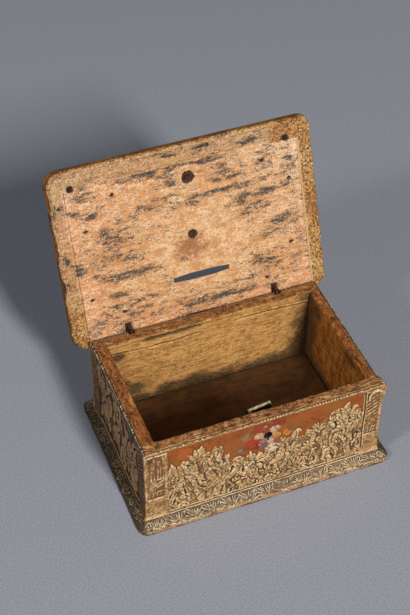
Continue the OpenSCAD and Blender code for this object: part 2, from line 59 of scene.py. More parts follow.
lidJoint = next(joint for joint in frame["joints"] if joint["name"] == "lid_hinge")
lidAngle = math.radians(lidJoint["range_deg"][1])
lidOrigin = np.array(lidJoint["pos_m"]) / mm
lidAlong = np.array((0, -math.cos(lidAngle), math.sin(lidAngle)))  # from the hinge line to the lid's front
lidUp = np.array((0, math.sin(lidAngle), math.cos(lidAngle)))  # from the lid's underside to its top
bodyHigh = span("back_relief")[1]
boardLow, boardHigh = span("front_wall")[0], span("back_wall")[1]
insideLow = np.array((span("left_wall")[1][0], span("front_wall")[1][1], span("base_board")[1][2]))
insideHigh = np.array((span("right_wall")[0][0], span("back_wall")[0][1], boardHigh[2]))


def onLid(x, s, n):  # s runs from the hinge line to the front, n from the hinge line up
    x, s, n = np.broadcast_arrays(x, s, n)
    return lidOrigin + x[..., None] * np.array((1.0, 0, 0)) + s[..., None] * lidAlong + n[..., None] * lidUp


def lidSpan(node):  # a lid node's corners in the lid's own (x, s, n)
    spots = np.array([v.co for v in frame["nodes"][node].data.vertices]) / mm - lidOrigin
    own = np.stack([spots[:, 0], spots @ lidAlong, spots @ lidUp], axis=1)
    return own.min(0), own.max(0)


def onWall(side):  # a face of the boards: u to the viewer's right, v up, h outwards
    def place(u, v, h):
        u, v, h = np.broadcast_arrays(u, v, h)
        spots = {
            "front": (u, boardLow[1] - h, v),
            "back": (-u, boardHigh[1] + h, v),
            "left": (boardLow[0] - h, -u, v),
            "right": (boardHigh[0] + h, u, v),
        }[side]
        return np.stack(spots, axis=-1)
    return place


def faceSpan(side, node):  # a node's corners as (u, v) on that face
    low, high = span(node)
    left, right = {
        "front": (low[0], high[0]), "back": (-high[0], -low[0]),
        "left": (-high[1], -low[1]), "right": (low[1], high[1]),
    }[side]
    return (left, low[2]), (right, high[2])


# Noise and drawing on height maps

def cloud(spots, size, seed, octaves=2):  # smooth noise from 0 to 1, over features of that size in mm
    table = np.random.default_rng(seed).random((32, 32, 32))
    total, weight, weights = 0.0, 1.0, 0.0
    for octave in range(octaves):
        scaled = spots / (np.array(size, float) / 2 ** octave)
        low = np.floor(scaled).astype(int)
        part = scaled - low
        part = part * part * (3 - 2 * part)
        value = 0.0
        for corner in np.ndindex(2, 2, 2):
            picked = table[tuple((low[..., k] + corner[k]) % 32 for k in range(3))]
            for k in range(3):
                picked = picked * (part[..., k] if corner[k] else 1 - part[..., k])
            value = value + picked
        total, weights, weight = total + value * weight, weights + weight, weight / 2
    return total / weights


def flat(u, v):  # two arrays as spots for cloud
    return np.stack([u, v, np.zeros_like(u)], axis=-1)


def ease(value, low, high):  # 0 below low, 1 above high, smooth between
    share = np.clip((value - low) / (high - low), 0, 1)
    return share * share * (3 - 2 * share)


def blur(values, cells):
    for axis in (0, 1):
        padded = np.pad(values, [(cells + 1, cells) if k == axis else (0, 0) for k in (0, 1)], mode="edge")
        sums = np.cumsum(padded, axis=axis)
        width = 2 * cells + 1
        high = np.take(sums, range(width, sums.shape[axis]), axis=axis)
        low = np.take(sums, range(0, sums.shape[axis] - width), axis=axis)
        values = (high - low) / width
    return values


def colour(code):  # a colour as it looks, such as "c8a070", to Blender's linear values
    parts = [int(code[k:k + 2], 16) / 255 for k in (0, 2, 4)]
    return tuple(c / 12.92 if c <= 0.04045 else ((c + 0.055) / 1.055) ** 2.4 for c in parts)


def spotAt(centre, heading, distance):  # a spot at that distance from another, or one for each heading
    return np.stack([centre[0] + distance * np.cos(heading), centre[1] + distance * np.sin(heading)], -1)


def quarterRound(reach, radius):  # how high a rounded edge of that radius is, as far in as reach
    return np.sqrt((radius ** 2 - (radius - reach).clip(0) ** 2).clip(0))


def nearest(u, v, a, b):  # how far from a to b each place lies, as a share, and its distance from that line
    run = b - a
    share = (((u - a[0]) * run[0] + (v - a[1]) * run[1]) / max(run @ run, 1e-9)).clip(0, 1)
    return share, np.hypot(u - a[0] - share * run[0], v - a[1] - share * run[1])


class Moulding:  # a height map in mm above its ground, on which ornament is drawn
    def __init__(self, low, high, step):
        steps = np.broadcast_to(step, 2)
        columns, rows = (max(3, round((high[k] - low[k]) / steps[k]) + 1) for k in (0, 1))
        along, up = np.linspace(low[0], high[0], columns), np.linspace(low[1], high[1], rows)
        self.u, self.v = np.meshgrid(along, up)
        self.step = (high[0] - low[0]) / (columns - 1)
        self.height = np.zeros(self.u.shape)
        self.tint = np.zeros(self.u.shape + (4,))

    def cloud(self, size, seed, octaves=2):
        return cloud(flat(self.u, self.v), size, seed, octaves)

    def window(self, points, reach):  # the part of the map within reach of some points
        low, high = points.min(0) - reach, points.max(0) + reach
        return (slice(*np.searchsorted(self.v[:, 0], (low[1], high[1]))),
                slice(*np.searchsorted(self.u[0], (low[0], high[0]))))

    def ridge(self, points, width, rise, trench=0.4, moat=0.6, keep=0.2):
        # a rounded ridge along points, with a trench round it so that it stands off what it crosses
        points = np.asarray(points, float)
        widths = np.broadcast_to(np.asarray(width, float), len(points))
        part = self.window(points, widths.max() + moat)
        u, v = self.u[part], self.v[part]
        if not u.size:
            return
        inside = np.full(u.shape, -99.0)
        share = np.zeros(u.shape)
        for a, b, wide, nextWide in zip(points, points[1:], widths, widths[1:]):
            at, gap = nearest(u, v, a, b)
            local = np.maximum(wide + (nextWide - wide) * at, 0.05)
            inside = np.maximum(inside, local - gap)
            share = np.maximum(share, 1 - (gap / local) ** 2)
        old = self.height[part]
        dug = old - trench * (1 + inside / moat).clip(0, 1)
        self.height[part] = np.where(inside > 0, rise * np.sqrt(share.clip(0)) + keep * old, dug)

    def groove(self, points, width, depth):
        points = np.asarray(points, float)
        part = self.window(points, width)
        u, v = self.u[part], self.v[part]
        if not u.size:
            return
        gap = np.full(u.shape, 99.0)
        for a, b in zip(points, points[1:]):
            gap = np.minimum(gap, nearest(u, v, a, b)[1])
        self.height[part] -= depth * (1 - gap / width).clip(0)

    def dome(self, centre, radius, rise, trench=0.3):
        self.ridge([centre, (centre[0] + 0.01, centre[1])], radius, rise, trench)

    def ring(self, centre, radius, width, rise):
        turn = np.linspace(0, 2 * math.pi, 25)
        self.ridge(spotAt(centre, turn, radius), width, rise)

    def leaf(self, foot, heading, length, bend, width, rise, lobes=0):
        # a curved leaf with a midrib; a broad one has a toothed edge and side veins, and side lobes if asked
        spine = sweepCurve(foot, heading, length, bend, 12)
        share = np.linspace(0, 1, len(spine))
        for k in range(lobes):
            at = 0.25 + 0.6 * k / max(lobes, 1)
            root = spine[int(at * (len(spine) - 1))]
            local = heading + bend * at
            for side in (-1, 1):
                self.leaf(root, local + side * 0.9, width * (1.9 - at), -side * 0.8, width * 0.5, rise * 0.85)
        widths = width * np.sin(math.pi * (0.12 + 0.8 * share)) ** 0.7
        broad = width > 1.0
        if broad:
            widths = widths * (1 + 0.16 * (-1.0) ** np.arange(len(spine)))
        self.ridge(spine, widths, rise)
        if width > 0.7:
            self.groove(spine[1:-1], 0.36, rise * 0.32)
        for k in range(2, len(spine) - 3, 2) if broad else ():
            for side in (-1, 1):
                turn = heading + bend * share[k] + side * 0.75
                self.groove([spine[k], spotAt(spine[k], turn, width * 1.2)], 0.32, rise * 0.22)

    def scroll(self, centre, radius, turns, start, hand, width, rise):
        angle = np.linspace(0, turns * 2 * math.pi, int(turns * 16) + 2)
        reach = radius * (1 - 0.78 * angle / angle[-1])
        points = spotAt(centre, start + hand * angle, reach)
        self.ridge(points, np.linspace(width, width * 0.6, len(points)), rise)
        self.dome(centre, width * 1.25, rise * 1.05)

    def rosette(self, centre, radius, petals, rise, turn=0.0):
        for k in range(petals):
            heading = turn + 2 * math.pi * k / petals
            foot = spotAt(centre, heading, 0.3 * radius)
            self.leaf(foot, heading, radius * 0.7, 0.0, radius * 1.5 / petals, rise * 0.9)
        self.dome(centre, radius * 0.27, rise * 1.1)

    def paint(self, centre, radius, shade, strength=1.0, seed=0, rough=0.5):
        # a patch of colour with a torn edge
        reach = np.hypot(self.u - centre[0], self.v - centre[1]) / radius
        torn = self.cloud(max(radius * 0.5, 1.2), seed, 3) - 0.5
        cover = strength * ease(reach + rough * 2 * torn, 1.1, 0.75)[..., None]
        self.tint[..., :3] = self.tint[..., :3] * (1 - cover) + np.array(colour(shade)) * cover
        self.tint[..., 3:] = np.maximum(self.tint[..., 3:] * (1 - 0.3 * cover), cover)

    def wear(self, seed, low=0.55, grit=0.1):
        # rubs the ornament down in places and gives it a grain
        self.height *= low + (1 - low) * ease(self.cloud(7, seed, 3), 0.35, 0.6)
        self.height += grit * (self.cloud(1.5, seed + 1) - 0.5) * 2

    # lift and cavity give height and hollowness, from which the finishes paint shade and highlights
    def marks(self, reach=1.0):
        cells = max(1, round(reach / self.step))
        hollow = self.height - blur(blur(self.height, cells), cells)
        return {"lift": self.height, "cavity": (0.5 + 1.1 * hollow).clip(0, 1), "tint": self.tint}


def sweepCurve(start, heading, length, bend, count=8):  # points along a curve that turns steadily
    angles = heading + bend * np.linspace(0, 1, count - 1)
    steps = np.stack([np.cos(angles), np.sin(angles)], 1) * length / (count - 1)
    return np.vstack([[start], np.asarray(start) + np.cumsum(steps, 0)])


# Meshes

def grid(rows, columns, wrapRows=False, wrapColumns=False):
    index = np.arange(rows * columns).reshape(rows, columns)
    if wrapRows:
        index = np.vstack([index, index[:1]])
    if wrapColumns:
        index = np.hstack([index, index[:, :1]])
    return np.stack([index[:-1, :-1], index[:-1, 1:], index[1:, 1:], index[1:, :-1]], -1).reshape(-1, 4)


def slab(u, v, height, place, back, marks):  # a closed slab with a modelled front and a flat back
    rows, columns = u.shape
    index = np.arange(rows * columns).reshape(rows, columns)
    rim = np.concatenate([index[0, :-1], index[:-1, -1], index[-1, :0:-1], index[:0:-1, 0]])
    rear = rows * columns + np.arange(len(rim))
    nextRim, nextRear = np.roll(rim, -1), np.roll(rear, -1)
    sides = np.stack([rim, rear, nextRear, nextRim], axis=1)
    front = place(u, v, height).reshape(-1, 3)
    behind = place(u.ravel()[rim], v.ravel()[rim], back)
    spots = np.stack([u, v, height], -1).reshape(-1, 3)
    marks = {key: values.reshape(rows * columns, -1) for key, values in marks.items()}
    marks["spot"] = spots
    return {
        "points": np.vstack([front, behind]),
        "quads": np.vstack([grid(rows, columns), sides]),
        "loops": [rear[::-1]],
        "marks": {key: np.vstack([values, values[rim]]) for key, values in marks.items()},
    }


def loft(rings, closed, marks):  # closed rings joined one to the next, with flat ends unless closed
    count, around = rings.shape[:2]
    ends = [] if closed else [np.arange(around)[::-1], (count - 1) * around + np.arange(around)]
    return {
        "points": rings.reshape(-1, 3),
        "quads": grid(count, around, closed, True),
        "loops": ends,
        "marks": {key: values.reshape(count * around, -1) for key, values in marks.items()},
    }


def makeMesh(name, parts, weld=False):
    counts = np.cumsum([0] + [len(part["points"]) for part in parts])
    points = np.vstack([part["points"] for part in parts])
    quads = np.vstack([part["quads"] + start for part, start in zip(parts, counts)])
    loops = [loop + start for part, start in zip(parts, counts) for loop in part["loops"]]
    corners = np.concatenate([quads.ravel()] + loops).astype(np.int32)
    sizes = np.array([4] * len(quads) + [len(loop) for loop in loops])
    mesh = bpy.data.meshes.new(name)
    mesh.vertices.add(len(points))
    mesh.vertices.foreach_set("co", (points * mm).astype(np.float32).ravel())
    mesh.loops.add(len(corners))
    mesh.loops.foreach_set("vertex_index", corners)
    mesh.polygons.add(len(sizes))
    mesh.polygons.foreach_set("loop_start", np.concatenate([[0], np.cumsum(sizes)[:-1]]).astype(np.int32))
    mesh.update(calc_edges=True)
    for key in parts[0]["marks"]:
        addMark(mesh, key, np.vstack([part["marks"][key] for part in parts]))
    built = bmesh.new()
    built.from_mesh(mesh)
    if weld:
        bmesh.ops.remove_doubles(built, verts=built.verts, dist=0.002 * mm)
    bmesh.ops.recalc_face_normals(built, faces=built.faces)
    built.to_mesh(mesh)
    built.free()
    mesh.shade_smooth()
    return mesh


def addMark(mesh, key, values):  # a value, vector or colour of each point that materials read
    kinds = {1: ("FLOAT", "value"), 3: ("FLOAT_VECTOR", "vector"), 4: ("FLOAT_COLOR", "color")}
    kind, field = kinds[values.shape[1]]
    made = mesh.attributes.new(key, kind, "POINT")
    made.data.foreach_set(field, values.astype(np.float32).ravel())


def addObject(name, data):
    made = bpy.data.objects.new(name, data)
    bpy.context.scene.collection.objects.link(made)
    return made


def addPiece(name, shape, body, material, nodes):  # shape is a mesh or the parts of one
    mesh = makeMesh(name, shape) if isinstance(shape, list) else shape
    piece = addObject(name, mesh)
    mesh.materials.append(material)
    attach(piece, body)
    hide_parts(*nodes)
    return piece


def addSidePiece(side, kind, parts, material):  # such as frontRelief, which stands for front_relief
    return addPiece(side + kind.capitalize(), parts, "box", material, [side + "_" + kind])


def modified(thing):  # a new mesh of what its modifiers make of it
    return bpy.data.meshes.new_from_object(thing.evaluated_get(bpy.context.evaluated_depsgraph_get()))


def cut(piece, corners):  # cuts out a prism; corners are the points on its one end, then on its other
    half = len(corners) // 2
    built = bmesh.new()
    made = [built.verts.new(Vector(c) * mm) for c in corners]
    for k in range(half):
        built.faces.new([made[k], made[(k + 1) % half], made[half + (k + 1) % half], made[half + k]])
    built.faces.new(made[:half][::-1])
    built.faces.new(made[half:])
    bmesh.ops.recalc_face_normals(built, faces=built.faces)
    mesh = bpy.data.meshes.new("cutter")
    built.to_mesh(mesh)
    built.free()
    cutter = addObject("cutter", mesh)
    step = piece.modifiers.new("cut", "BOOLEAN")
    step.operation = "DIFFERENCE"
    step.solver = "EXACT"
    step.object = cutter
    finished = modified(piece)
    piece.modifiers.clear()
    piece.data = finished
    bpy.data.objects.remove(cutter)


# Shader maths: a Wire is one socket, and an expression on Wires adds its nodes

class Wire:
    def __init__(self, finish, socket):
        self.finish, self.socket = finish, socket

    def maths(self, operation, first, second=0.0):
        return self.finish.add("ShaderNodeMath", {"operation": operation}, {0: first, 1: second})

    def __add__(self, other):
        return self.maths("ADD", self, other)

    def __radd__(self, other):
        return self.maths("ADD", other, self)

    def __sub__(self, other):
        return self.maths("SUBTRACT", self, other)

    def __rsub__(self, other):
        return self.maths("SUBTRACT", other, self)

    def __mul__(self, other):
        return self.maths("MULTIPLY", self, other)

    def __rmul__(self, other):
        return self.maths("MULTIPLY", other, self)

    def __abs__(self):
        return self.maths("ABSOLUTE", self)

    def ease(self, low, high):  # 0 below low, 1 above high, smooth between; low may be the larger
        return self.finish.add("ShaderNodeMapRange", {"interpolation_type": "SMOOTHSTEP"},
                               {"Value": self, "From Min": low, "From Max": high})


class Finish:  # one material, built node by node
    def __init__(self, name):
        self.material = bpy.data.materials.new(name)
        self.material.use_nodes = True
        self.nodes, self.links = self.material.node_tree.nodes, self.material.node_tree.links
        self.nodes.clear()

    def add(self, kind, settings=None, inputs=None, outlet=0):
        node = self.nodes.new(kind)
        for key, value in (settings or {}).items():
            setattr(node, key, value)
        for key, value in (inputs or {}).items():
            socket = node.inputs[key]
            if isinstance(value, Wire):
                self.links.new(value.socket, socket)
            elif hasattr(socket.default_value, "__len__") and len(socket.default_value) == 4:
                socket.default_value = (*value, 1.0)
            else:
                socket.default_value = value
        return Wire(self, node.outputs[outlet]) if node.outputs else None

    def mark(self, name, outlet="Fac"):  # a mesh attribute
        return self.add("ShaderNodeAttribute", {"attribute_name": name}, outlet=outlet)

    def marks(self, *names):
        return [self.mark(name) for name in names]

    def vectors(self, operation, first, second, outlet=0):
        return self.add("ShaderNodeVectorMath", {"operation": operation}, {0: first, 1: second}, outlet)

    def split(self, vector, axis):
        return self.add("ShaderNodeSeparateXYZ", None, {"Vector": vector}, axis)

    def noise(self, vector, scale, detail=3.0, roughness=0.55, distortion=0.0, outlet="Fac"):
        if isinstance(scale, tuple):  # a scale for each axis
            vector, scale = self.vectors("MULTIPLY", vector, scale), 1.0
        return self.add("ShaderNodeTexNoise", None, {
            "Vector": vector, "Scale": scale, "Detail": detail, "Roughness": roughness,
            "Distortion": distortion,
        }, outlet)

    def cells(self, vector, scale):
        return self.add("ShaderNodeTexVoronoi", None, {"Vector": vector, "Scale": scale}, "Distance")

    def mix(self, factor, first, second):  # first where factor is 0, second where it is 1
        first, second = (colour(c) if isinstance(c, str) else c for c in (first, second))
        return self.add("ShaderNodeMix", {"data_type": "RGBA"}, {0: factor, 6: first, 7: second}, 2)

    def coats(self, base, *coats):  # lays colours over a base, each where its own factor is 1
        for factor, shade in coats:
            base = self.mix(factor, base, shade)
        return base

    def paintKeyholeShade(self, base):  # painted shade: a near-black colour on what lies in the keyhole
        spot = self.add("ShaderNodeTexCoord", outlet="Object")
        (x, z), radius = keyhole["at"], keyhole["radius"] * mm
        level = self.vectors("MULTIPLY", spot, (1, 0, 1))
        away = self.vectors("DISTANCE", level, (x * mm, 0, z * mm), "Value")
        depth = self.split(spot, "Y")
        return self.mix((away + depth.ease(-0.044, -0.04)).ease(radius * 1.08, radius), base, "101417")

    def surface(self, base, rough, bump=None, strength=0.3, distance=0.1, metallic=0.0):
        inputs = {"Base Color": base, "Roughness": rough, "Metallic": metallic}
        if bump is not None:
            inputs["Normal"] = self.add("ShaderNodeBump", None, {
                "Height": bump, "Strength": strength, "Distance": distance * mm})
        shader = self.add("ShaderNodeBsdfPrincipled", None, inputs)
        self.add("ShaderNodeOutputMaterial", None, {"Surface": shader})
        return self.material


# Reliefs on the four faces of the body

seeds = {"front": 3, "left": 14, "right": 25, "back": 36}
# crevice colour: dirt and painted shade; low colour: painted shade on sunken ground; crest colour: painted
# highlight
pasteColours = {
    "cream": "cfad7a", "tan": "8a663c", "creviceDirtAndShade": "38210e", "gilt": "a45516", "rust": "7f3d11",
    "dust": "6b4c2a", "crestHighlight": "eed3a4", "low": "3b2412", "olive": "a58a4e", "ochre": "9a6420",
}
wallRelief = {
    "ground": 0.8,  # thickness behind the ornament
    "rise": 1.0,  # height of the ornament above it
    "step": {"front": 0.34, "left": 0.45, "right": 0.6, "back": 0.6},
    "base": {"left": 62, "right": 61, "back": 52},  # middle height of the ornament's upper outline
    "swing": {"left": 3, "right": 4, "back": 9},
    "frontOutline": {-70: 47, -58: 54, -47: 63, -40: 57, -34: 59, -28: 47, -18: 42, -12: 41, 0: 42, 12: 45,
                     20: 50, 26: 45, 34: 51, 42: 56, 50: 60, 58: 63, 64: 55, 72: 52},
}
thicket = {
    "bottom": 2.2,  # height of the plain strip below it
    "mass": 0.3,  # height of what fills its gaps
    "massBelow": 4.0, "ragged": 6.0,  # how far below the outline that ends, and how unevenly
    "ground": (9, 4),  # how far below the outline its ground starts to show, and shows in full
    "margin": 1.5, "berryBelow": 8.0,  # kept free at both ends, and of berries below the outline
    "shootGap": (5.5, 11), "shootFoot": (9, 13), "shootTop": (-5.5, 3.5),  # feet lie below the outline
    "tries": 2600, "radius": (3.6, 7.6), "packing": 0.58,  # the ornaments, from loose at 1 to crowded at 0
    "motifs": {"fan": 0.14, "scroll": 0.14, "rosette": 0.06, "acanthus": 0.44, "bud": 0.08, "sheaf": 0.14},
    "berry": (0.6, 1.0), "gapLength": (1.5, 4.5), "gapWidth": (0.7, 1.2), "gapDepth": 2.2,
}
shoots = {
    "lean": 0.35, "bend": 0.5,
    "leafBend": 0.7, "leafWidth": (1.8, 2.8),  # a single leaf
    "budStem": 0.75, "bud": (1.4, 2.1), "budLeaf": 3.4,  # a bud between two leaflets
    "curlStem": 1.0, "curl": 2.2,
    "tuft": (-0.45, 0.4, 0.0), "tuftWidth": 1.7,  # leaves in a tuft by their turns
}
sheaves = {
    "leaves": 64, "leafLength": (8, 20), "leafWidth": (1.6, 3.6), "scrolled": 0.35,
    "slits": 34, "slitLength": (7, 18), "slitWidth": (0.8, 1.7), "slitDepth": 2.4,
}
keyhole = {"at": (1.6, 54.2), "radius": 2.9, "slitWidth": 1.5, "slitDrop": 5.4}
frontFlower = {
    "radius": 9.5,
    "petals": [(172, "cdb48c"), (100, "8e2c1e"), (38, "d6be98"), (335, "c07f3c"), (285, "c9a89a"),
               (228, "8b6d78")],
    "patches": [  # old colour beside it: middle, radius, colour
        (-8.5, 50, 5.2, "b3281f"), (-5, 46, 3.4, "8d2420"), (-4, 63, 5.0, "9c3a20"), (9, 64, 5.0, "8e3420"),
        (4.5, 41, 5.6, "d3bda6"), (-2, 44, 2.6, "7b6070"), (11, 41, 3.2, "8d7f63"), (-14, 18, 3.2, "7a2226"),
        (27, 24, 3.0, "8c2a2c"), (15, 51, 3.4, "c98536"), (-18, 46, 2.2, "8f7f8c"), (-57, 60, 6.0, "b4611f"),
        (-14, 58, 4.4, "9a7350"), (52, 24, 2.4, "8c3a2c"),
    ],
}


def pasteMaterial(name, shade, dirt=0.0):
    # worn paste: a pale painted highlight on the crests, dirt and painted shade in the crevices, gilt on the
    # flat ground
    make = Finish(name)
    spot, tint, cover = make.mark("spot", "Vector"), make.mark("tint", "Color"), make.mark("tint", "Alpha")
    lift, cavity, zone = make.marks("lift", "cavity", "zone")
    fine = make.noise(spot, 1.3, 4.0, 0.7)
    grain = make.noise(spot, 0.5, 3.0, 0.6)
    blotch = make.noise(spot, 0.14, 3.0)
    wide = make.noise(spot, 0.07, 3.0, 0.6)
    tone = lift * 0.3 + blotch * 0.9 + (grain - 0.5) * 1.2 + (fine - 0.5) * 0.5
    body = make.coats(
        make.mix(tone.ease(0.35, 0.85), shade["tan"], shade["cream"]),
        ((blotch * 0.4 + grain * 0.3 + wide * 0.3).ease(0.52, 0.6) * 0.6, shade["gilt"]),
        ((grain * 0.5 + fine * 0.5).ease(0.5, 0.38) * 0.75, shade["dust"]),
        ((wide * 0.6 + grain * 0.4).ease(0.52, 0.6) * 0.35, shade["olive"]),
    )
    ground = make.coats(
        make.mix((grain * 0.4 + blotch * 0.6).ease(0.42, 0.58), shade["gilt"], shade["rust"]),
        ((blotch * 0.5 + fine * 0.5).ease(0.55, 0.64) * 0.6, shade["tan"]),
        ((wide * 0.65 + grain * 0.35).ease(0.5, 0.56) * 0.6, shade["ochre"]),
        (fine.ease(0.6, 0.72) * 0.25, shade["cream"]),
        ((fine * 0.6 + wide * 0.4).ease(0.44, 0.34) * 0.75, shade["dust"]),
    )
    low = (lift + (fine - 0.5) * 0.4).ease(0.3, 0.05)
    deep = (grain * 0.55 + blotch * 0.45).ease(0.42, 0.52) * 0.6 + 0.35
    ragged, edges = (0.35, (0.51, 0.74)) if dirt else (0.85, (0.58, 0.85))
    crestHighlight = (cavity + (fine - 0.5) * ragged + (grain - 0.5) * ragged).ease(*edges)
    # painted shade on low ground below the outline, dirt and painted shade in crevices, a painted highlight
    # on crests
    whole = make.coats(
        body,
        (low * zone, ground),
        (low * (1 - zone) * 0.75, shade["low"]),
        (cover * (fine * 0.5 + grain * 0.5).ease(0.36, 0.5), tint),
        ((cavity + (fine - 0.5) * 0.5).ease(0.39, 0.15) * deep, shade["creviceDirtAndShade"]),
        (crestHighlight * (lift + 0.5 - zone * 0.5).ease(0.1, 0.5) * 0.75, shade["crestHighlight"]),
    )
    if dirt:
        whole = make.mix((blotch * 0.5 + grain * 0.5).ease(0.38, 0.6) * dirt, whole, shade["dust"])
    return make.surface(make.paintKeyholeShade(whole), 0.6 + fine * 0.3, fine, 0.6, 0.3)


def drawThicket(side, low, high, outline):
    # overlapping leaves, scrolls, buds and rosettes, with tall shoots along their upper outline
    art = Moulding(low, high, wallRelief["step"][side])
    rng = np.random.default_rng(seeds[side])
    rise, bottom = wallRelief["rise"], low[1] + thicket["bottom"]
    edge = np.vectorize(outline)(art.u)
    ragged = thicket["ragged"] * (art.cloud(4.5, seeds[side] + 30) - 0.5)
    filled = ease(edge + ragged - thicket["massBelow"] - art.v, 0.0, 0.8)
    art.height = thicket["mass"] * filled * (0.5 + art.cloud(2.4, 5))
    at = low[0] + rng.uniform(1.5, 4)
    while at < high[0] - thicket["margin"]:
        foot = (at, outline(at) - rng.uniform(*thicket["shootFoot"]))
        drawShoot(art, foot, outline(at) + rng.uniform(*thicket["shootTop"]), rng, rise)
        at += rng.uniform(*thicket["shootGap"])
    placed = []
    for _ in range(thicket["tries"]):
        radius = rng.uniform(*thicket["radius"])
        u = rng.uniform(low[0] + 0.4 * radius, high[0] - 0.4 * radius)
        v = rng.uniform(bottom, outline(u) - 0.8 * radius)
        if all(math.hypot(u - x, v - y) > thicket["packing"] * (radius + other) for x, y, other in placed):
            placed.append((u, v, radius))
    for u, v, radius in sorted(placed, key=lambda spot: -spot[1]):
        drawMotif(art, (u, v), radius, rng, rise * rng.uniform(0.7, 1.0))
    for _ in range(len(placed) // 2):  # berries in the gaps
        u = rng.uniform(low[0] + thicket["margin"], high[0] - thicket["margin"])
        v = rng.uniform(bottom, outline(u) - thicket["berryBelow"])
        art.dome((u, v), rng.uniform(*thicket["berry"]), rise * 0.9, 0.4)
    for _ in range(len(placed) // 2):  # deep gaps
        u = rng.uniform(low[0] + 2, high[0] - 2)
        start = (u, rng.uniform(bottom, outline(u) - 5))
        gap = sweepCurve(start, rng.uniform(0, 6.28), rng.uniform(*thicket["gapLength"]),
                         rng.uniform(-1.6, 1.6))
        art.groove(gap, rng.uniform(*thicket["gapWidth"]), rise * thicket["gapDepth"])
    starts, full = thicket["ground"]
    return art, ease(art.v, edge - starts, edge - full)


def drawSheaves(side, low, high, outline):
    # upright overlapping leaf masses with deep slits between them, under a plain lumpy band
    art = Moulding(low, high, wallRelief["step"][side])
    rng = np.random.default_rng(seeds[side])
    rise = wallRelief["rise"]
    edge = np.vectorize(outline)(art.u)
    art.height = rise * (0.8 * art.cloud((4, 11, 9), seeds[side] + 30, 3) - 0.55)
    art.height += rise * 0.5 * ease(art.v, edge - 5, edge)
    leaves = []
    for _ in range(sheaves["leaves"]):
        u, length = rng.uniform(low[0] + 2, high[0] - 2), rng.uniform(*sheaves["leafLength"])
        leaves.append((rng.uniform(low[1] + 2, outline(u) - 0.9 * length), u, length))
    for foot, u, length in sorted(leaves, reverse=True):
        lean = rng.uniform(-0.5, 0.5)
        art.leaf((u, foot), math.pi / 2 + lean, length, -2.4 * lean, rng.uniform(*sheaves["leafWidth"]),
                 rise * rng.uniform(0.6, 1.0), int(rng.integers(0, 2)))
        if rng.random() < sheaves["scrolled"]:
            tip = (u, foot + length)
            art.scroll(tip, rng.uniform(1.8, 2.8), 1.2, rng.uniform(0, 6), rng.choice((-1, 1)), 0.8, rise)
    for _ in range(sheaves["slits"]):
        u, length = rng.uniform(low[0] + 2, high[0] - 2), rng.uniform(*sheaves["slitLength"])
        start = (u, rng.uniform(low[1] + 3, outline(u) - 0.7 * length))
        slit = sweepCurve(start, math.pi / 2 + rng.uniform(-0.5, 0.5), length, rng.uniform(-1.2, 1.2))
        art.groove(slit, rng.uniform(*sheaves["slitWidth"]), rise * sheaves["slitDepth"])
    return art, 0 * art.v


def drawMotif(art, centre, radius, rng, rise):
    kind = rng.choice(list(thicket["motifs"]), p=list(thicket["motifs"].values()))
    heading = math.pi / 2 + rng.uniform(-0.7, 0.7)
    foot = spotAt(centre, heading, -radius)
    hand = rng.choice((-1, 1))
    if kind == "fan":
        for k in range(5):
            art.leaf(foot, heading + (k - 2) * 0.42, radius * (1.9 - 0.15 * abs(k - 2)), (k - 2) * 0.25,
                     radius * 0.24, rise * rng.uniform(0.8, 1.0))
    elif kind == "scroll":
        art.leaf(foot, heading - hand * 0.5, radius * 1.5, hand * 1.2, radius * 0.22, rise * 0.85)
        art.scroll(centre, radius * 0.75, 1.4, rng.uniform(0, 6.28), hand, radius * 0.2, rise)
    elif kind == "rosette":
        art.rosette(centre, radius * 0.95, int(rng.integers(5, 8)), rise, rng.uniform(0, 1))
    elif kind == "acanthus":
        bend = hand * rng.uniform(0.7, 1.6)
        art.leaf(foot, heading - hand * 0.5, radius * 2.1, bend, radius * 0.42, rise, 3)
    elif kind == "bud":
        for side in (-1, 1):
            art.leaf(foot, heading + side * 0.5, radius * 1.3, -side * 0.7, radius * 0.22, rise * 0.85)
        art.dome(centre, radius * 0.5, rise)
        art.dome((centre[0], centre[1] + radius * 0.2), radius * 0.22, rise, 0.35)
    else:
        for k in range(3):
            shift = (k - 1) * radius * 0.5
            art.leaf((foot[0] + shift, foot[1]), heading, radius * rng.uniform(1.6, 2.2),
                     rng.uniform(-0.4, 0.4), radius * 0.26, rise * rng.uniform(0.8, 1.0))


def drawShoot(art, foot, top, rng, rise):
    lean = rng.uniform(-shoots["lean"], shoots["lean"])
    length = (top - foot[1]) / math.cos(lean)
    kind = rng.integers(0, 4)
    heading = math.pi / 2 - lean
    stem = sweepCurve(foot, heading, length, rng.uniform(-shoots["bend"], shoots["bend"]), 8)
    if kind == 0:
        bend = rng.uniform(-shoots["leafBend"], shoots["leafBend"])
        art.leaf(foot, heading, length, bend, rng.uniform(*shoots["leafWidth"]), rise, 1)
    elif kind == 1:
        art.ridge(stem[:-1], shoots["budStem"], rise * 0.8)
        for side in (-1, 1):
            art.leaf(stem[-2], heading + side * 1.1, shoots["budLeaf"], -side * 1.6, 0.8, rise * 0.9)
        art.dome(stem[-2], rng.uniform(*shoots["bud"]), rise)
    elif kind == 2:
        art.ridge(stem[:-1], shoots["curlStem"], rise * 0.8)
        art.scroll(stem[-2], shoots["curl"], 1.2, rng.uniform(0, 6.28), rng.choice((-1, 1)), 0.75, rise)
    else:
        for turn in shoots["tuft"]:
            art.leaf(foot, heading + turn, length * (1 - abs(turn) * 0.5), -turn, shoots["tuftWidth"], rise)


def wallOutline(side):  # the upper outline of the ornament along a face
    if side == "front":
        knots = wallRelief["frontOutline"]
        return lambda u: float(np.interp(u, list(knots), list(knots.values())))
    start, base, swing = seeds[side], wallRelief["base"][side], wallRelief["swing"][side]
    return lambda u: base + swing * (0.6 * math.sin(u / 9.0 + start) + 0.4 * math.sin(u / 4.3 + 2 * start))


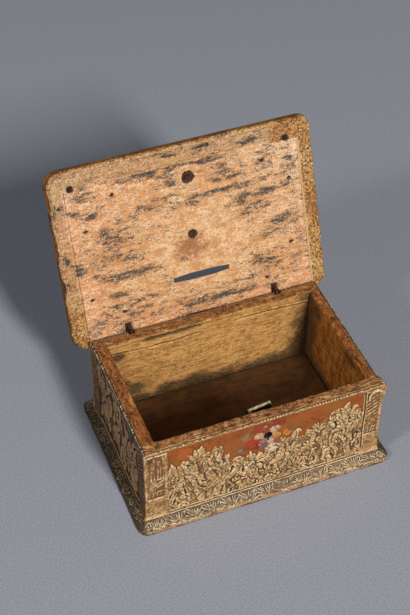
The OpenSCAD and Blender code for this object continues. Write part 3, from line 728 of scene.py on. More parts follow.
def makeWallRelief(side, material):
    low, high = faceSpan(side, side + "_relief")
    rise = wallRelief["rise"]
    draw, reach = (drawSheaves, 2.0) if side == "left" else (drawThicket, 1.0)
    art, zone = draw(side, low, high, wallOutline(side))
    if side == "front":
        paintFlower(art, rise)
    art.ridge([(low[0] + 0.5, low[1] + 1.1), (high[0] - 0.5, low[1] + 1.1)], 0.7, rise * 0.8)
    art.wear(seeds[side] + 50, 0.6, 0.14)
    marks = art.marks(reach)
    marks["zone"] = zone  # where the flat ground shows above the ornament
    part = slab(art.u, art.v, wallRelief["ground"] + art.height.clip(-0.65, rise), onWall(side), 0.0, marks)
    piece = addSidePiece(side, "relief", [part], material)
    if side == "front":
        cut(piece, keyholeCorners(boardLow[1] - 3, boardLow[1] + 1))
    if side == "back":
        cutPockets(piece)


def keyholeCorners(near, far):  # the round hole and the slit below it, at two depths
    (u, v), radius, half = keyhole["at"], keyhole["radius"], keyhole["slitWidth"] / 2
    start = math.asin(half / radius)
    turn = np.linspace(start, 2 * math.pi - start, 20) - math.pi / 2
    ring = [*spotAt((u, v), turn, radius)]
    ring += [(u - half, v - keyhole["slitDrop"]), (u + half, v - keyhole["slitDrop"])]
    return [(x, y, z) for y in (near, far) for x, z in ring]


def cutPockets(piece):  # the pockets at the back in which the hinge eyes sit
    for x in lid["hinges"]:
        low = x - lid["pocketHalf"], hingePocket["y"]
        high = x + lid["pocketHalf"], bodyHigh[1] + 1
        ring = [low, (high[0], low[1]), high, (low[0], high[1])]
        cut(piece, [(a, b, z) for z in (hingePocket["z"], boardHigh[2] + 2) for a, b in ring])


def paintFlower(art, rise):  # the painted flower round the keyhole and patches of old colour
    for turn, shade in frontFlower["petals"]:
        heading = math.radians(turn)
        foot = spotAt(keyhole["at"], heading, 2.2)
        art.leaf(foot, heading, frontFlower["radius"] * 0.75, 0.25, 2.6, rise * 0.55)
        art.paint(spotAt(keyhole["at"], heading, 6), 4.0, shade, 0.95, turn)
    for k, (u, v, reach, shade) in enumerate(frontFlower["patches"]):
        art.paint((u, v), reach, shade, 0.95, 60 + k, 0.8)


# Pilasters at the corners

pilaster = {
    "back": 1.1,  # height of the sunk panel above the boards
    "frame": 0.7, "collar": (23.2, 25.4), "footTop": 10.7, "footFlare": 1.0, "step": 0.4,
    "bandTop": 31.0, "bandMarks": 5, "fluteBottom": 43.0, "flutes": 6,
    "crack": [(0.9, 12), (0.5, 30), (1.2, 48), (0.7, 66)],  # along the inner side of the front's right one
    # what is left of that one's cap: a rounded piece on its top, and a fragment beside it
    "cap": [(-4.4, -9, 0.8), (-4.2, -5, 1.2), (-2, -2.4, 1.6), (1, -2.0, 1.7), (4, -3.2, 1.2)],
    "horn": [(83.2, -42, 67.6, 0.9), (84.4, -47, 67.5, 2.1), (84.9, -51, 67.4, 2.3), (84.8, -53.6, 66.0, 2.3),
             (84.1, -54.3, 63.0, 1.8), (83.6, -54.2, 58.5, 0.9)],
}


def drawPilaster(low, high, seed, fluted, split):
    art = Moulding(low, high, pilaster["step"])
    rng = np.random.default_rng(seed)
    left, right = low[0] + 1.3, high[0] - 1.3
    blockTop, collarTop = pilaster["collar"]
    bandTop, fluteBottom, top = pilaster["bandTop"], pilaster["fluteBottom"], high[1] - 1.4
    rise = pilaster["frame"]
    spacing = (right - left - 2.4) / (pilaster["flutes"] - 1)
    for k in range(pilaster["flutes"]):  # flutes above, slanting lines below
        u = left + 1.2 + k * spacing + rng.uniform(-0.2, 0.2)
        if fluted:
            foot = (u, fluteBottom + rng.uniform(-1.5, 1.5))
            head = (u + rng.uniform(-0.5, 0.5), top - rng.uniform(2, 7))
            width = spacing * rng.uniform(0.26, 0.42)
            art.ridge([foot, head], width, rise * rng.uniform(0.5, 0.85), 0.2, 0.3)
        v = bandTop + 1 + k * 2.1
        slanting = [(left + 1, v), (right - 1, min(v + 6 + rng.uniform(-1, 1), fluteBottom + 1))]
        art.ridge(slanting, 0.5, rise * 0.6, 0.2, 0.4)
        if not fluted:
            v = bandTop + 12 + k * 3.6
            art.ridge([(left + 1, v), (right - 1, min(v + 5, top - 1))], 0.5, rise * 0.6, 0.2, 0.4)
    for k in range(pilaster["bandMarks"]):
        u = left + 1.3 + k * (right - left - 2.6) / (pilaster["bandMarks"] - 1)
        art.ridge([(u, collarTop + 1.2), (u + 0.7, bandTop - 1.2)], 0.42, rise * 0.6, 0.25, 0.4)
    art.ridge([(left, bandTop), (right, bandTop)], 0.55, rise * 0.8, 0.25)
    for u in (left, right):
        art.ridge([(u, collarTop), (u, top)], 0.75, rise, 0.2)
    art.ridge([(left, top), (right, top)], 0.8, rise, 0.2)
    art.ridge([(low[0] + 0.5, low[1]), (low[0] + 0.5, high[1])], 0.8, rise * 0.9, 0.2)
    art.ridge([(high[0] - 0.4, low[1]), (high[0] - 0.4, high[1])], 0.7, rise * 0.9, 0.2)
    art.paint((left + 2.6, top - 4), 2.4, "4a2f1a", 0.8, seed + 3, 0.6)
    block = ease(art.v, blockTop + 0.4, blockTop)
    art.height = art.height * (1 - block) + block * rise * 0.85
    middle = (blockTop + collarTop) / 2
    art.ridge([(low[0], middle), (high[0], middle)], (collarTop - blockTop) * 0.5, rise * 1.1, 0.25)
    art.wear(seed + 7, 0.55, 0.1)
    if split:
        art.groove([(low[0] + u, v) for u, v in pilaster["crack"]], 0.8, 1.6)
        cap = np.array(pilaster["cap"])
        art.ridge(cap[:, :2] + (right - 4, high[1]), cap[:, 2], rise * 1.3, 0.3)
    art.height = art.height.clip(-0.9 if split else -0.4, rise * (1.5 if split else 1.0))
    art.height += pilaster["footFlare"] * ease(art.v, pilaster["footTop"], low[1]) ** 2
    return art


def strand(course, seed):  # a lumpy rounded strand along a course of (x, y, z, radius)
    at = np.linspace(0, len(course) - 1, 30)
    middle = np.stack([np.interp(at, range(len(course)), values) for values in zip(*course)], 1)
    middle, radius = middle[:, None, :3], middle[:, None, 3:]
    run = np.gradient(middle[:, 0], axis=0)
    first = np.cross(run, (1, 0.3, 0))
    first /= np.linalg.norm(first, axis=1, keepdims=True)
    second = np.cross(run, first)
    second /= np.linalg.norm(second, axis=1, keepdims=True)
    turn = np.linspace(0, 2 * math.pi, 17)[:-1, None]
    rings = middle + radius * (first[:, None] * np.cos(turn) + second[:, None] * np.sin(turn))
    lumps = cloud(rings, 2.4, seed, 2)
    rings = middle + (rings - middle) * (0.7 + 0.3 * lumps[..., None])
    outer = ease((rings - middle)[..., 0] / radius[..., 0], 0.2, 0.6)[..., None]
    tint = np.concatenate([np.broadcast_to(colour("5a3a1e"), rings.shape), 0.85 * outer], axis=-1)
    marks = {"lift": 0.3 + 0.5 * lumps, "cavity": 0.2 + 0.5 * lumps, "tint": tint, "spot": rings}
    return loft(rings, False, marks)


def makePilasters(side, material):
    low, high = faceSpan(side, side + "_pilasters")
    fieldLow, fieldHigh = faceSpan(side, side + "_relief")
    flare = pilaster["footFlare"] if side in ("front", "back") else 0.0
    parts = []
    ends = [(low[0] + flare, fieldLow[0], -1), (fieldHigh[0], high[0] - flare, 1)]
    for k, (left, right, outward) in enumerate(ends):
        split = k == 1 and side == "front"
        art = drawPilaster((left, low[1]), (right, high[1]), 5 * seeds[side] + k, k == 0, split)
        edge = (art.u - left) / (right - left) if outward > 0 else (right - art.u) / (right - left)
        u = art.u + outward * flare * ease(edge, 0.8, 1.0) * ease(art.v, pilaster["footTop"], low[1]) ** 2
        parts.append(slab(u, art.v, pilaster["back"] + art.height, onWall(side), 0.0, art.marks()))
    if side == "front":
        parts.append(strand(pilaster["horn"], 171))
    addSidePiece(side, "pilasters", parts, material)


# Bead strings along the top edges

beadString = {
    "pitch": 2.15, "radius": 0.95, "rise": 0.85, "back": 0.7, "step": (0.3, 0.22),
    "smeared": 0.6,  # share of the lost beads that leave a lump
    "kept": {  # share of the beads that are left, at places along each side
        "front": [(-80, 0.1), (-6, 0.1), (-5, 0.8), (15, 0.8), (16, 0.1), (30, 0.1), (31, 0.9), (56, 0.9),
                  (58, 0.2), (80, 0.2)],
        "left": [(0, 0.6)], "right": [(0, 0.75)], "back": [(0, 0.1)],
    },
}


def makeBeads(side, material):
    low, high = faceSpan(side, side + "_beads")
    art = Moulding(low, high, beadString["step"])
    rng = np.random.default_rng(seeds[side] + 9)
    rise, kept = beadString["rise"], beadString["kept"][side]
    middle = (low[1] + high[1]) / 2
    art.ridge([(low[0], middle - 0.75), (high[0], middle - 0.75)], 0.45, rise * 0.6, 0.0)
    count = int((high[0] - low[0]) / beadString["pitch"])
    for k in range(count):
        u = low[0] + (k + 0.5) * (high[0] - low[0]) / count
        if rng.random() < np.interp(u, *zip(*kept)):
            art.dome((u, middle + 0.25), beadString["radius"], rise * rng.uniform(0.8, 1.0), 0.15)
        elif rng.random() < beadString["smeared"]:
            art.ridge([(u - 1.1, middle + 0.2), (u + 1.1, middle + 0.2)], 0.8, rise * 0.5, 0.1)
    art.wear(seeds[side] + 70, 0.75, 0.05)
    height = beadString["back"] + art.height.clip(-0.3, 1.05)
    part = slab(art.u, art.v, height, onWall(side), 0.0, art.marks())
    piece = addSidePiece(side, "beads", [part], material)
    if side == "back":
        cutPockets(piece)


# Leaf bands on the plinth

leafBand = {
    "pitch": 14.0, "thick": 0.85, "step": {"front": 0.36, "left": 0.4, "right": 0.5, "back": 0.5},
    "ground": 0.25,  # thickness between the leaves
    "mitred": 14,  # how far from a corner its mitre draws them along
    "torn": 2.4,  # how far in from the plinth's edge they are worn away
}
plinth = {"corner": 7.0, "slopeFrom": 2.8, "knock": 0.9}
plinthHigh = span("base_board")[1]
slopeLow, slopeHigh = plinth["slopeFrom"], span("front_wall")[0][2]


def plinthKnock(spots):  # how far the plinth's edge is worn back at given places
    return plinth["knock"] * ease(cloud(spots, (8, 8, 90), 72, 3), 0.42, 0.8)


def makeLeaves(side, material):
    # u runs along the plinth's edge and v from that edge in to the body
    across = side in ("front", "back")
    deep, wide = plinthHigh[1] - bodyHigh[1], plinthHigh[0] + span("left_relief")[0][0]
    half, reach, other = (plinthHigh[0], deep, wide) if across else (plinthHigh[1], wide, deep)
    art = Moulding((-half, 0.0), (half, reach), leafBand["step"][side])
    rng = np.random.default_rng(seeds[side] + 17)
    rise = leafBand["thick"] * 0.65
    straight = half - other
    count = 2 * round(straight / leafBand["pitch"]) + 1
    draw = drawFan if across else drawCurl
    for k in range(count):
        draw(art, (2 * k + 1 - count) / count * straight, reach, rise, rng)
    for end in (-1, 1):  # curls at the corners
        art.scroll((end * (half - 4.4), reach * 0.42), 2.9, 1.3, rng.uniform(0, 6), end, 0.55, rise)
        art.leaf((end * (half - 8), 0.8), math.pi / 2 + end * 0.5, reach * 0.8, end * 0.9, 0.8, rise * 0.8)
    art.ridge([(-half, reach - 0.5), (half, reach - 0.5)], 0.5, rise * 0.7)
    art.wear(seeds[side] + 80, 0.5, 0.1)
    torn = leafBand["torn"] * art.cloud(5, seeds[side] + 90, 3)
    bare = ease(art.v - 0.2, torn - 0.1, torn - 0.7)
    height = (leafBand["ground"] + art.height.clip(-0.2, rise)) * (1 - bare) + 0.03
    mitred = leafBand["mitred"]
    arc = quarterRound(art.v, plinth["corner"]) - plinth["corner"]
    inset = np.maximum(art.v * other / reach, -arc)
    share = ((np.abs(art.u) - (half - mitred)) / mitred).clip(0, 1)
    along = art.u - np.sign(art.u) * inset * share
    slope = (slopeHigh - slopeLow) / reach

    def place(u, v, h):
        lift = slopeLow + np.minimum(v * slope, slopeHigh - slopeLow)
        out = {
            "front": (u, v - half), "back": (-u, half - v), "left": (v - half, -u), "right": (half - v, u),
        }[side]
        v = v + plinthKnock(np.stack([*np.broadcast_arrays(*out), 0 * v], -1)) * (1 - v / 4).clip(0, 1)
        x, y = {
            "front": (u, v - plinthHigh[1]), "back": (-u, plinthHigh[1] - v),
            "left": (v - plinthHigh[0], -u), "right": (plinthHigh[0] - v, u),
        }[side]
        return np.stack([x, y, lift + h], axis=-1)

    marks = art.marks()
    marks["bare"] = bare
    addSidePiece(side, "leaves", [slab(along, art.v, height, place, 0.0, marks)], material)


fans = {
    "ribs": 11, "ribWidth": (0.6, 0.95), "size": (0.88, 1.1),
    "hanging": (-0.9, -0.45, 0.0, 0.45, 0.9), "hangingLength": (3, 5.5),  # leaflets by their turns
}
curls = {"radius": (0.36, 0.42), "strewn": 6, "strewnLength": (2.2, 4.0)}  # radius as a share of the band


def drawFan(art, u, reach, rise, rng):  # a worn tuft of ribs, and leaflets that hang beside it
    u, size, lean = u + rng.uniform(-0.9, 0.9), rng.uniform(*fans["size"]), rng.uniform(-0.15, 0.15)
    half, ribs = leafBand["pitch"] / 2, fans["ribs"]
    for k in range(ribs):
        heading = math.pi * (0.1 + 0.8 * (k + rng.uniform(-0.2, 0.2)) / (ribs - 1)) + lean
        length = min(half / max(abs(math.cos(heading)), 0.1), (reach - 1.6) / max(math.sin(heading), 0.1))
        art.leaf((u + 1.1 * math.cos(heading), 0.6), heading, (length - 0.6) * size * rng.uniform(0.82, 1.0),
                 (heading - math.pi / 2) * 0.3, rng.uniform(*fans["ribWidth"]), rise * rng.uniform(0.8, 1.0))
    art.dome((u, 0.9), 1.1, rise * 0.8)
    for turn in fans["hanging"]:
        heading = -math.pi / 2 + turn + rng.uniform(-0.2, 0.2)
        art.leaf((u + half, reach - 0.8), heading, rng.uniform(*fans["hangingLength"]), 0.3, 0.6,
                 rise * rng.uniform(0.6, 0.95))


def drawCurl(art, u, reach, rise, rng):  # a worn curl between leaves, with small ones strewn beside it
    size, hand = reach * rng.uniform(*curls["radius"]), rng.choice((-1, 1))
    art.scroll((u, reach * 0.48), size, 1.4, rng.uniform(0, 6), hand, 0.8, rise)
    for turn in (-1, 1):
        art.leaf((u + turn * size, reach * rng.uniform(0.2, 0.4)), math.pi / 2 - turn * 0.5, reach * 0.6,
                 turn * 0.9, 1.0, rise * rng.uniform(0.7, 1.0), 1)
        art.leaf((u + turn * (size + 1.6), reach * 0.85), -math.pi / 2 + turn * 0.4, reach * 0.45,
                 -turn * 0.8, 0.8, rise * rng.uniform(0.6, 0.9))
    for _ in range(curls["strewn"]):
        foot = (u + rng.uniform(size + 0.5, leafBand["pitch"] - size - 0.5), reach * rng.uniform(0.15, 0.8))
        art.leaf(foot, rng.uniform(0, 6.28), rng.uniform(*curls["strewnLength"]), rng.uniform(-1, 1), 0.9,
                 rise * rng.uniform(0.6, 0.9))


def leafMaterial(name, shade, ragged=0.8):
    # grey-brown paste, ribs pale as a painted highlight, warmer to the right, worn through to the wood along
    # the outer edge
    make = Finish(name)
    spot = make.mark("spot", "Vector")
    lift, cavity, bare = make.marks("lift", "cavity", "bare")
    fine = make.noise(spot, 1.3, 4.0, 0.7)
    grain = make.noise(spot, 0.45, 3.0, 0.65)
    blotch = make.noise(spot, 0.12, 3.0)
    along = make.split(spot, "X")
    right = along.ease(-30.0, 90.0)
    tone = blotch * 0.5 + grain * 0.5 + (fine - 0.5) * 0.4
    whole = make.coats(
        make.mix(tone.ease(0.42, 0.62), shade["dark"], shade["light"]),
        ((grain * 0.6 + fine * 0.4).ease(0.55, 0.64) * 0.55, shade["warm"]),
        (right * 0.45, shade["right"]),
        ((along + (blotch - 0.5) * 60).ease(62.0, 74.0) * 0.7, shade["end"]),
        # painted shade in the low places, dirt and painted shade in the crevices, a painted highlight on the
        # ribs
        ((lift + (fine - 0.5) * 0.4).ease(0.3, 0.05) * (0.75 - right * 0.35), shade["low"]),
        ((cavity + (fine - 0.5) * 0.5).ease(0.46, 0.24) * 0.85, shade["creviceDirtAndShade"]),
        ((cavity + (fine - 0.5) * ragged + (grain - 0.5) * ragged).ease(0.57, 0.8) * 0.7, shade["crestHighlight"]),
        ((bare + (fine - 0.5) * 0.9).ease(0.4, 0.6),
         make.mix(fine.ease(0.35, 0.65), shade["bareDark"], shade["bareLight"])),
    )
    return make.surface(whole, 0.7 + fine * 0.2, fine, 0.5, 0.25)


# Boards of the body

hingePocket = {"y": 51.05, "z": 65.35}  # where the pockets in the back board start
boardWear = {
    "step": 0.6, "round": 0.9, "dent": 0.16, "grain": 0.07, "chip": 0.9, "pit": 0.5, "crumb": 0.3,
    "foot": 0.8,  # how damp the boards are along the floor, and below at their left and right ends
    "corners": {"front": (0.4, 0.4), "back": (0.45, 0.95), "left": (0.4, 0.5), "right": (0.3, 0.95)},
    "knots": {  # dark patches on the inside: middle, half length and half height
        "right": [(31, 61, 6, 5), (-20, 64, 10, 3)],
        "back": [(-67, 57, 6, 5), (-30, 67, 30, 2.5), (-62, 22, 22, 11), (-20, 14, 30, 7)],
    },
    "knotty": {"right": 1.1, "back": 0.65},
}


def boardSection(thick, low, high):
    # a board's outline across its length, from the inner foot over the top to the outer face
    step, bend = boardWear["step"], boardWear["round"]
    inner = np.linspace(low, high - bend, int((high - bend - low) / step) + 1)
    turn = np.linspace(0, math.pi / 2, 5)[1:]
    flatTop = np.linspace(bend, thick - bend, int((thick - 2 * bend) / step) + 1)[1:]
    across = np.concatenate([0 * inner, bend - bend * np.cos(turn), flatTop,
                             thick - bend + bend * np.sin(turn), [thick]])
    up = np.concatenate([inner, high - bend + bend * np.sin(turn), 0 * flatTop + high,
                         high - bend + bend * np.cos(turn), [low]])
    outwards = np.concatenate([0 * inner - 1, -np.cos(turn), 0 * flatTop, np.sin(turn), [0]])
    upwards = np.concatenate([0 * inner, np.sin(turn), 0 * flatTop + 1, np.cos(turn), [0]])
    return across, up, outwards, upwards


def makeBoard(side, material, carve=None):
    low, high = span(side + "_wall")
    axis = 1 if side in ("front", "back") else 0  # the axis across the board
    inner = (insideLow if side in ("front", "left") else insideHigh)[axis]
    sign = -1 if side in ("front", "left") else 1
    across, up, outwards, upwards = boardSection(high[axis] - low[axis], low[2], high[2])
    ends = low[1 - axis], high[1 - axis]
    along = np.linspace(*ends, int((ends[1] - ends[0]) / boardWear["step"]) + 1)
    rings = np.zeros((len(along), len(across), 3))
    rings[..., 1 - axis] = along[:, None]
    rings[..., axis] = inner + sign * across
    rings[..., 2] = up
    spots = rings[..., [1 - axis, 2, axis]]
    seed = seeds[side]
    dent = boardWear["dent"] * cloud(spots, (26, 5, 5), seed, 3)
    dent += boardWear["grain"] * cloud(spots, (9, 0.9, 0.9), seed + 1, 2)
    edge = (np.abs(outwards) > 0.01) & (upwards > 0.01)
    dent += boardWear["chip"] * edge * ease(cloud(spots, (5, 3, 3), seed + 2, 3), 0.5, 0.75)
    dent += boardWear["pit"] * (upwards > 0.9) * ease(cloud(spots, (7, 3, 3), seed + 3, 3), 0.56, 0.8)
    dent += boardWear["crumb"] * (upwards > 0.5) * (cloud(spots, 1.7, seed + 6, 2) - 0.35).clip(0, 1)
    if carve:
        dent += carve(spots)
    rings[..., axis] -= sign * outwards * dent
    rings[..., 2] -= upwards * dent
    ragged = cloud(spots, (11, 11, 11), seed + 4, 3) - 0.5
    damp = boardWear["foot"] * ease(up[None] - insideLow[2] + 12 * ragged, 17, -4)
    gaps = along - insideLow[1 - axis], insideHigh[1 - axis] - along
    for gap, strength in zip(gaps, boardWear["corners"][side]):
        strength = strength * (0.55 + 0.6 * ease(up[None], 60, 15))
        damp = np.maximum(damp, strength * ease(gap[:, None] + 16 * ragged, 26, 0) * (upwards < 0.5))
    for u, v, wide, tall in boardWear["knots"].get(side, ()):
        reach = np.hypot((along[:, None] - u) / wide, (up[None] - v) / tall) + 0.8 * ragged
        damp = np.maximum(damp, boardWear["knotty"][side] * ease(reach, 1.5, 0.2) * (upwards < 0.5))
    # the finish paints shade into deep dents and a highlight along the rim, the rounded outer top edge
    marks = {
        "spot": spots, "damp": damp, "dent": dent,
        "top": np.broadcast_to(upwards > 0.5, damp.shape).astype(float),
        "rim": np.broadcast_to(edge & (outwards > 0), damp.shape).astype(float),
    }
    piece = addSidePiece(side, "wall", [loft(rings, False, marks)], material)
    if side == "front":
        cut(piece, keyholeCorners(low[1] - 1, high[1] + 1))
    if side == "back":
        cutPockets(piece)


def backCracks(spots):  # a long lipped split near the top of the back board, and another above it
    along, up, across = spots[..., 0], spots[..., 1], spots[..., 2]
    first = 60.5 + 1.6 * np.sin(along / 21) + 1.6 * (cloud(spots, (9, 90, 90), 5, 3) - 0.5)
    second = 64.8 + 1.5 * np.cos(along / 33) - 0.02 * along
    gaping = ease(cloud(spots, (26, 90, 90), 8), 0.3, 0.5)
    depth = 1.1 * (1 - np.abs(up - first) / 0.9).clip(0) * gaping
    depth -= 0.35 * (1 - np.abs(up - first - 1.3) / 0.9).clip(0) * gaping
    depth += 0.7 * (1 - np.abs(up - second) / 0.7).clip(0) * ease(cloud(spots, (18, 90, 90), 9), 0.4, 0.6)
    return depth * (across < boardHigh[1] - 2)


def boardMaterial(name, shade, grainScale, stain):
    # old bare wood; spot runs along the board, up and across, and damp darkens its foot and corners
    make = Finish(name)
    spot = make.mark("spot", "Vector")
    top, dent, damp, rim = make.marks("top", "dent", "damp", "rim")
    grain = make.noise(spot, grainScale, 4.0, 0.65, 0.5)
    fine = make.noise(spot, 1.1, 4.0, 0.75)
    grit = make.noise(spot, (0.5, 1.0, 1.0), 3.0, 0.8)
    blotch = make.noise(spot, 0.1, 4.0, 0.65)
    patch = make.noise(spot, (0.22, 0.38, 0.38), 4.0, 0.7)
    lumps = make.noise(spot, (0.22, 0.55, 0.55), 3.0, 0.65)
    tone = (grain * 0.45 + blotch * 0.15 + grit * 0.15 + patch * 0.25 - 0.5) * 1.5 + (fine - 0.5) * 0.7
    soaked = (fine * 0.3 + grit * 0.2 + patch * 0.2 + grain * 0.3 - 0.5) * 5.5 + damp * 1.2 - 0.45
    granules = fine * 0.5 + grit * 0.5
    crust = (damp + (patch - 0.5) * 1.5).ease(0.25, 0.6)
    inner = make.coats(
        make.mix((tone + (lumps - 0.5) * 0.4).ease(-0.13, 0.13), shade["dark"], shade["light"]),
        ((grit * 0.35 + fine * 0.25 + patch * 0.4).ease(0.45, 0.37) * 0.75, shade["line"]),
        ((grit * 0.3 + fine * 0.4 + patch * 0.3).ease(0.55, 0.64) * 0.6, shade["pale"]),
        ((lumps * 0.6 + grain * 0.4).ease(0.43, 0.36) * 0.5, shade["line"]),
        (soaked.ease(-0.1, 0.3) * stain, shade["stain"]),
        (granules.ease(0.52, 0.44) * crust * stain, "241b10"),
        (granules.ease(0.56, 0.64) * crust * stain * 0.6, shade["light"]),
    )
    worn, streaky = lumps * 0.7 + blotch * 0.3, patch * 0.45 + grit * 0.2 + fine * 0.35
    edge = make.coats(
        make.mix(streaky.ease(0.42, 0.56), shade["topDark"], shade["topLight"]),
        # dark flecks, with a few more in the dents as painted shade
        ((fine * 0.55 + patch * 0.25 + grit * 0.2 - dent * 0.1).ease(0.45, 0.36) * 0.85, "2c1a0d"),
        ((fine * 0.6 + grit * 0.3 + patch * 0.1).ease(0.54, 0.63) * 0.8, shade["topPale"]),
        (worn.ease(0.55, 0.63) * 0.75, shade["topPale"]),
        (worn.ease(0.45, 0.38) * 0.8, "2c1a0d"),
        # painted highlight along the rounded outer edge of the top
        ((rim + (fine - 0.5) * 1.4).ease(0.5, 1.0) * 0.75, shade["topPale"]),
    )
    # painted shade in the deep dents: chips, pits and cracks
    whole = make.coats(inner, (top, edge), ((dent + (fine - 0.5) * 0.2).ease(0.5, 0.85), "26150a"))
    return make.surface(make.paintKeyholeShade(whole), 0.6 + fine * 0.3, grit * 0.5 + fine * 0.5, 0.6, 0.3)


def remeshed(node, voxel):  # a node's mesh rebuilt evenly, so that it can be worn and bent
    copy = addObject(node, frame["nodes"][node].data.copy())
    copy.data.materials.clear()
    copy.modifiers.new("remesh", "REMESH").voxel_size = voxel * mm
    rebuilt = modified(copy)
    bpy.data.objects.remove(copy)
    return rebuilt


baseWear = {"voxel": 0.9, "dent": 0.12, "chip": 0.5, "corner": 0.25, "inset": 0.15}


def makeBase(material):
    # the plinth with its raised floor, remeshed so that its edges can be worn
    worn = remeshed("base_board", baseWear["voxel"])
    spots, normals = (np.zeros(len(worn.vertices) * 3, np.float32) for _ in range(2))
    worn.vertices.foreach_get("co", spots)
    worn.vertices.foreach_get("normal", normals)
    spots, normals = spots.reshape(-1, 3) / mm, normals.reshape(-1, 3)
    soft = cloud(spots, (9, 9, 4), 71, 3)
    corner = ease(1 - np.abs(normals).max(1), 0.05, 0.3)
    dent = baseWear["dent"] * soft + baseWear["chip"] * corner * ease(soft, 0.45, 0.7)
    dent += baseWear["corner"] * corner
    sides = (np.abs(normals[:, 2]) < 0.5) * (spots[:, 2] < slopeHigh - 1)
    dent += (plinthKnock(spots * (1, 1, 0)) + baseWear["inset"]) * sides
    spots = spots - normals * dent[:, None]
    spots[:, 2] = spots[:, 2].clip(0, insideLow[2])
    worn.vertices.foreach_set("co", (spots * mm).astype(np.float32).ravel())
    addMark(worn, "spot", spots)
    addMark(worn, "floor", ease(spots[:, 2], slopeHigh + 0.5, insideLow[2] - 0.5)[:, None])
    worn.shade_smooth()
    addPiece("basePlinth", worn, "box", material, ["base_board"])


def baseMaterial():
    # crusted wood on the plinth, pale along its front edge and dark along its left one, partly as painted
    # shade, and a dark floor
    make = Finish("plinthWood")
    spot, floor = make.mark("spot", "Vector"), make.mark("floor")
    grain = make.noise(spot, (0.05, 0.4, 0.4), 4.0, 0.6, 0.3)
    fine = make.noise(spot, 1.2, 3.0, 0.6)
    blotch = make.noise(spot, 0.12, 3.0)
    x, y, z = (make.split(spot, axis) for axis in "XYZ")
    crust = (z * 0.5 + (blotch - 0.5) * 3.0 + (fine - 0.5) * 1.6).ease(0.35, 0.75)
    front = y.ease(-56.0, -61.0)
    edge = make.coats(
        make.mix(fine.ease(0.35, 0.65), "3d2714", "6e4828"),
        (blotch.ease(0.4, 0.6) * 0.6, "33261a"),
        (front * (fine * 0.6 + blotch * 0.4).ease(0.4, 0.55) * 0.7, "a8794f"),
        (crust, make.mix(fine.ease(0.4, 0.6), "54452f", "9c8565")),
        (crust * front * fine.ease(0.42, 0.58) * 0.8, "d8b48c"),
        # dark colour and painted shade along the left edge
        (x.ease(-80.0, -90.0) * 0.75, "2b2116"),
    )
    inside = make.coats(
        make.mix((grain * 0.5 + blotch * 0.5).ease(0.3, 0.7), "3a230d", "6b451c"),
        (fine.ease(0.58, 0.75) * 0.5, "7a5227"),
        (fine.ease(0.42, 0.3) * 0.5, "24160a"),
    )
    return make.surface(make.mix(floor, edge, inside), 0.65 + fine * 0.2, grain * 0.6 + fine * 0.4, 0.4, 0.2)


# Lid, in its own x, s from the hinge line to the front, and n from the underside to the top

lidLow, lidHigh = lidSpan("lid_edging")
lidTop = lidSpan("lid_relief")[1][2]
lid = {
    "windowX": 82.5, "windowFront": 107.5, "windowBack": -3.8,  # where the gilt border ends on the bare wood
    "corner": 9.0, "round": 1.7, "step": 0.5,
    "nailHoles": [(-72.2, 77.5), (74.2, 80.6), (-75.7, 28.9), (-55.1, 14.8), (-50.7, 98.5), (56.1, 97.3),
                  (70.8, 34.0), (49.9, 12.1)],
    "nails": [(-78.0, 109.0), (74.8, 109.0)], "nailHollow": 3.2,
    "hinges": (-54.3, 54.3), "pocketHalf": 2.65, "pocketDepth": 2.0, "pocketBack": -1.5, "pocketFront": 6.6,
    "hasp": (2.6, 98.1), "haspRadius": 4.5, "haspDepth": 2.2,
    "handle": (0.7, 58.1), "handleRadius": 3.5, "handleDepth": 1.1,
    "clean": (6, 47, 66, 46), "stain": (-2, 49, 17, 13),  # middle, half length and half width
}
# soot along the grain: middle, half length and half width
sootStreaks = [
    (-72, 101, 18, 6), (-29, 107, 38, 5), (-78, 92, 9, 8), (-67, 87, 20, 4), (-29, 84, 15, 6),
    (-10, 98, 10, 7), (4, 83, 10, 9), (20, 83, 22, 5), (35, 92, 44, 5), (36, 83, 18, 7),
    (47, 76, 32, 8), (37, 73, 13, 6), (47, 66, 27, 8), (68, 52, 24, 10), (54, 45, 22, 7),
    (51, 25, 22, 8), (10, 8, 46, 6), (-35, 15, 20, 5), (-43, 21, 32, 5), (-59, 28, 13, 7),
    (-50, 41, 36, 7), (-57, 54, 26, 8), (-57, 70, 16, 12), (-7, 42, 10, 6), (-80, 51, 9, 10),
    (18, 107, 22, 5), (-10, 118, 26, 7), (14, 117, 22, 6.5), (-52, 113, 26, 3), (-88, 60, 5, 9),
    (48, 113, 22, 4), (-86, 98, 6, 4), (-84, 30, 7, 5), (75, 95, 9, 5), (76, 70, 8, 5),
]
coinSlot = {"x": 2.7, "s": 27.8, "length": 41.0, "middle": 19.0, "width": 4.6, "endWidth": 3.0, "flare": 23.0}


def slotCorners(bottom, top):
    corners = []
    for n in (bottom, top):
        grow = (n - lidLow[2]) * math.tan(math.radians(coinSlot["flare"]))
        wide, narrow = coinSlot["width"] / 2 + grow, coinSlot["endWidth"] / 2 + grow
        middle, end = coinSlot["middle"] / 2, coinSlot["length"] / 2
        ring = [(-end, -narrow), (-middle, -wide), (middle, -wide), (end, -narrow),
                (end, narrow), (middle, wide), (-middle, wide), (-end, narrow)]
        x, s = np.array(ring).T
        corners += [*onLid(coinSlot["x"] + x, coinSlot["s"] + s, n)]
    return corners


def lidWeather(u, v):  # how far a place on the lid's underside is from its clean middle, and how sooty it is
    spots = flat(u, v)
    x, s, length, width = lid["clean"]
    away = np.hypot((u - x) / length, (v - s) / width)
    bias = 0.1 * ease(away, 0.5, 1.1) + 0.25 * (cloud(spots, (40, 18, 9), 95, 2) - 0.5)
    for x, s, length, width in sootStreaks:
        bias = np.maximum(bias, 0.5 * ease(np.hypot((u - x) / length, (v - s) / width), 0.95, 0.1))
    broken = cloud(spots, (5.5, 1.7, 9), 97, 3) * 0.6 + cloud(spots, (14, 4, 9), 98, 2) * 0.4
    return away, bias + 1.5 * (broken - 0.5) + 0.3 - 0.15 * ease(away, 0.7, 0.3)


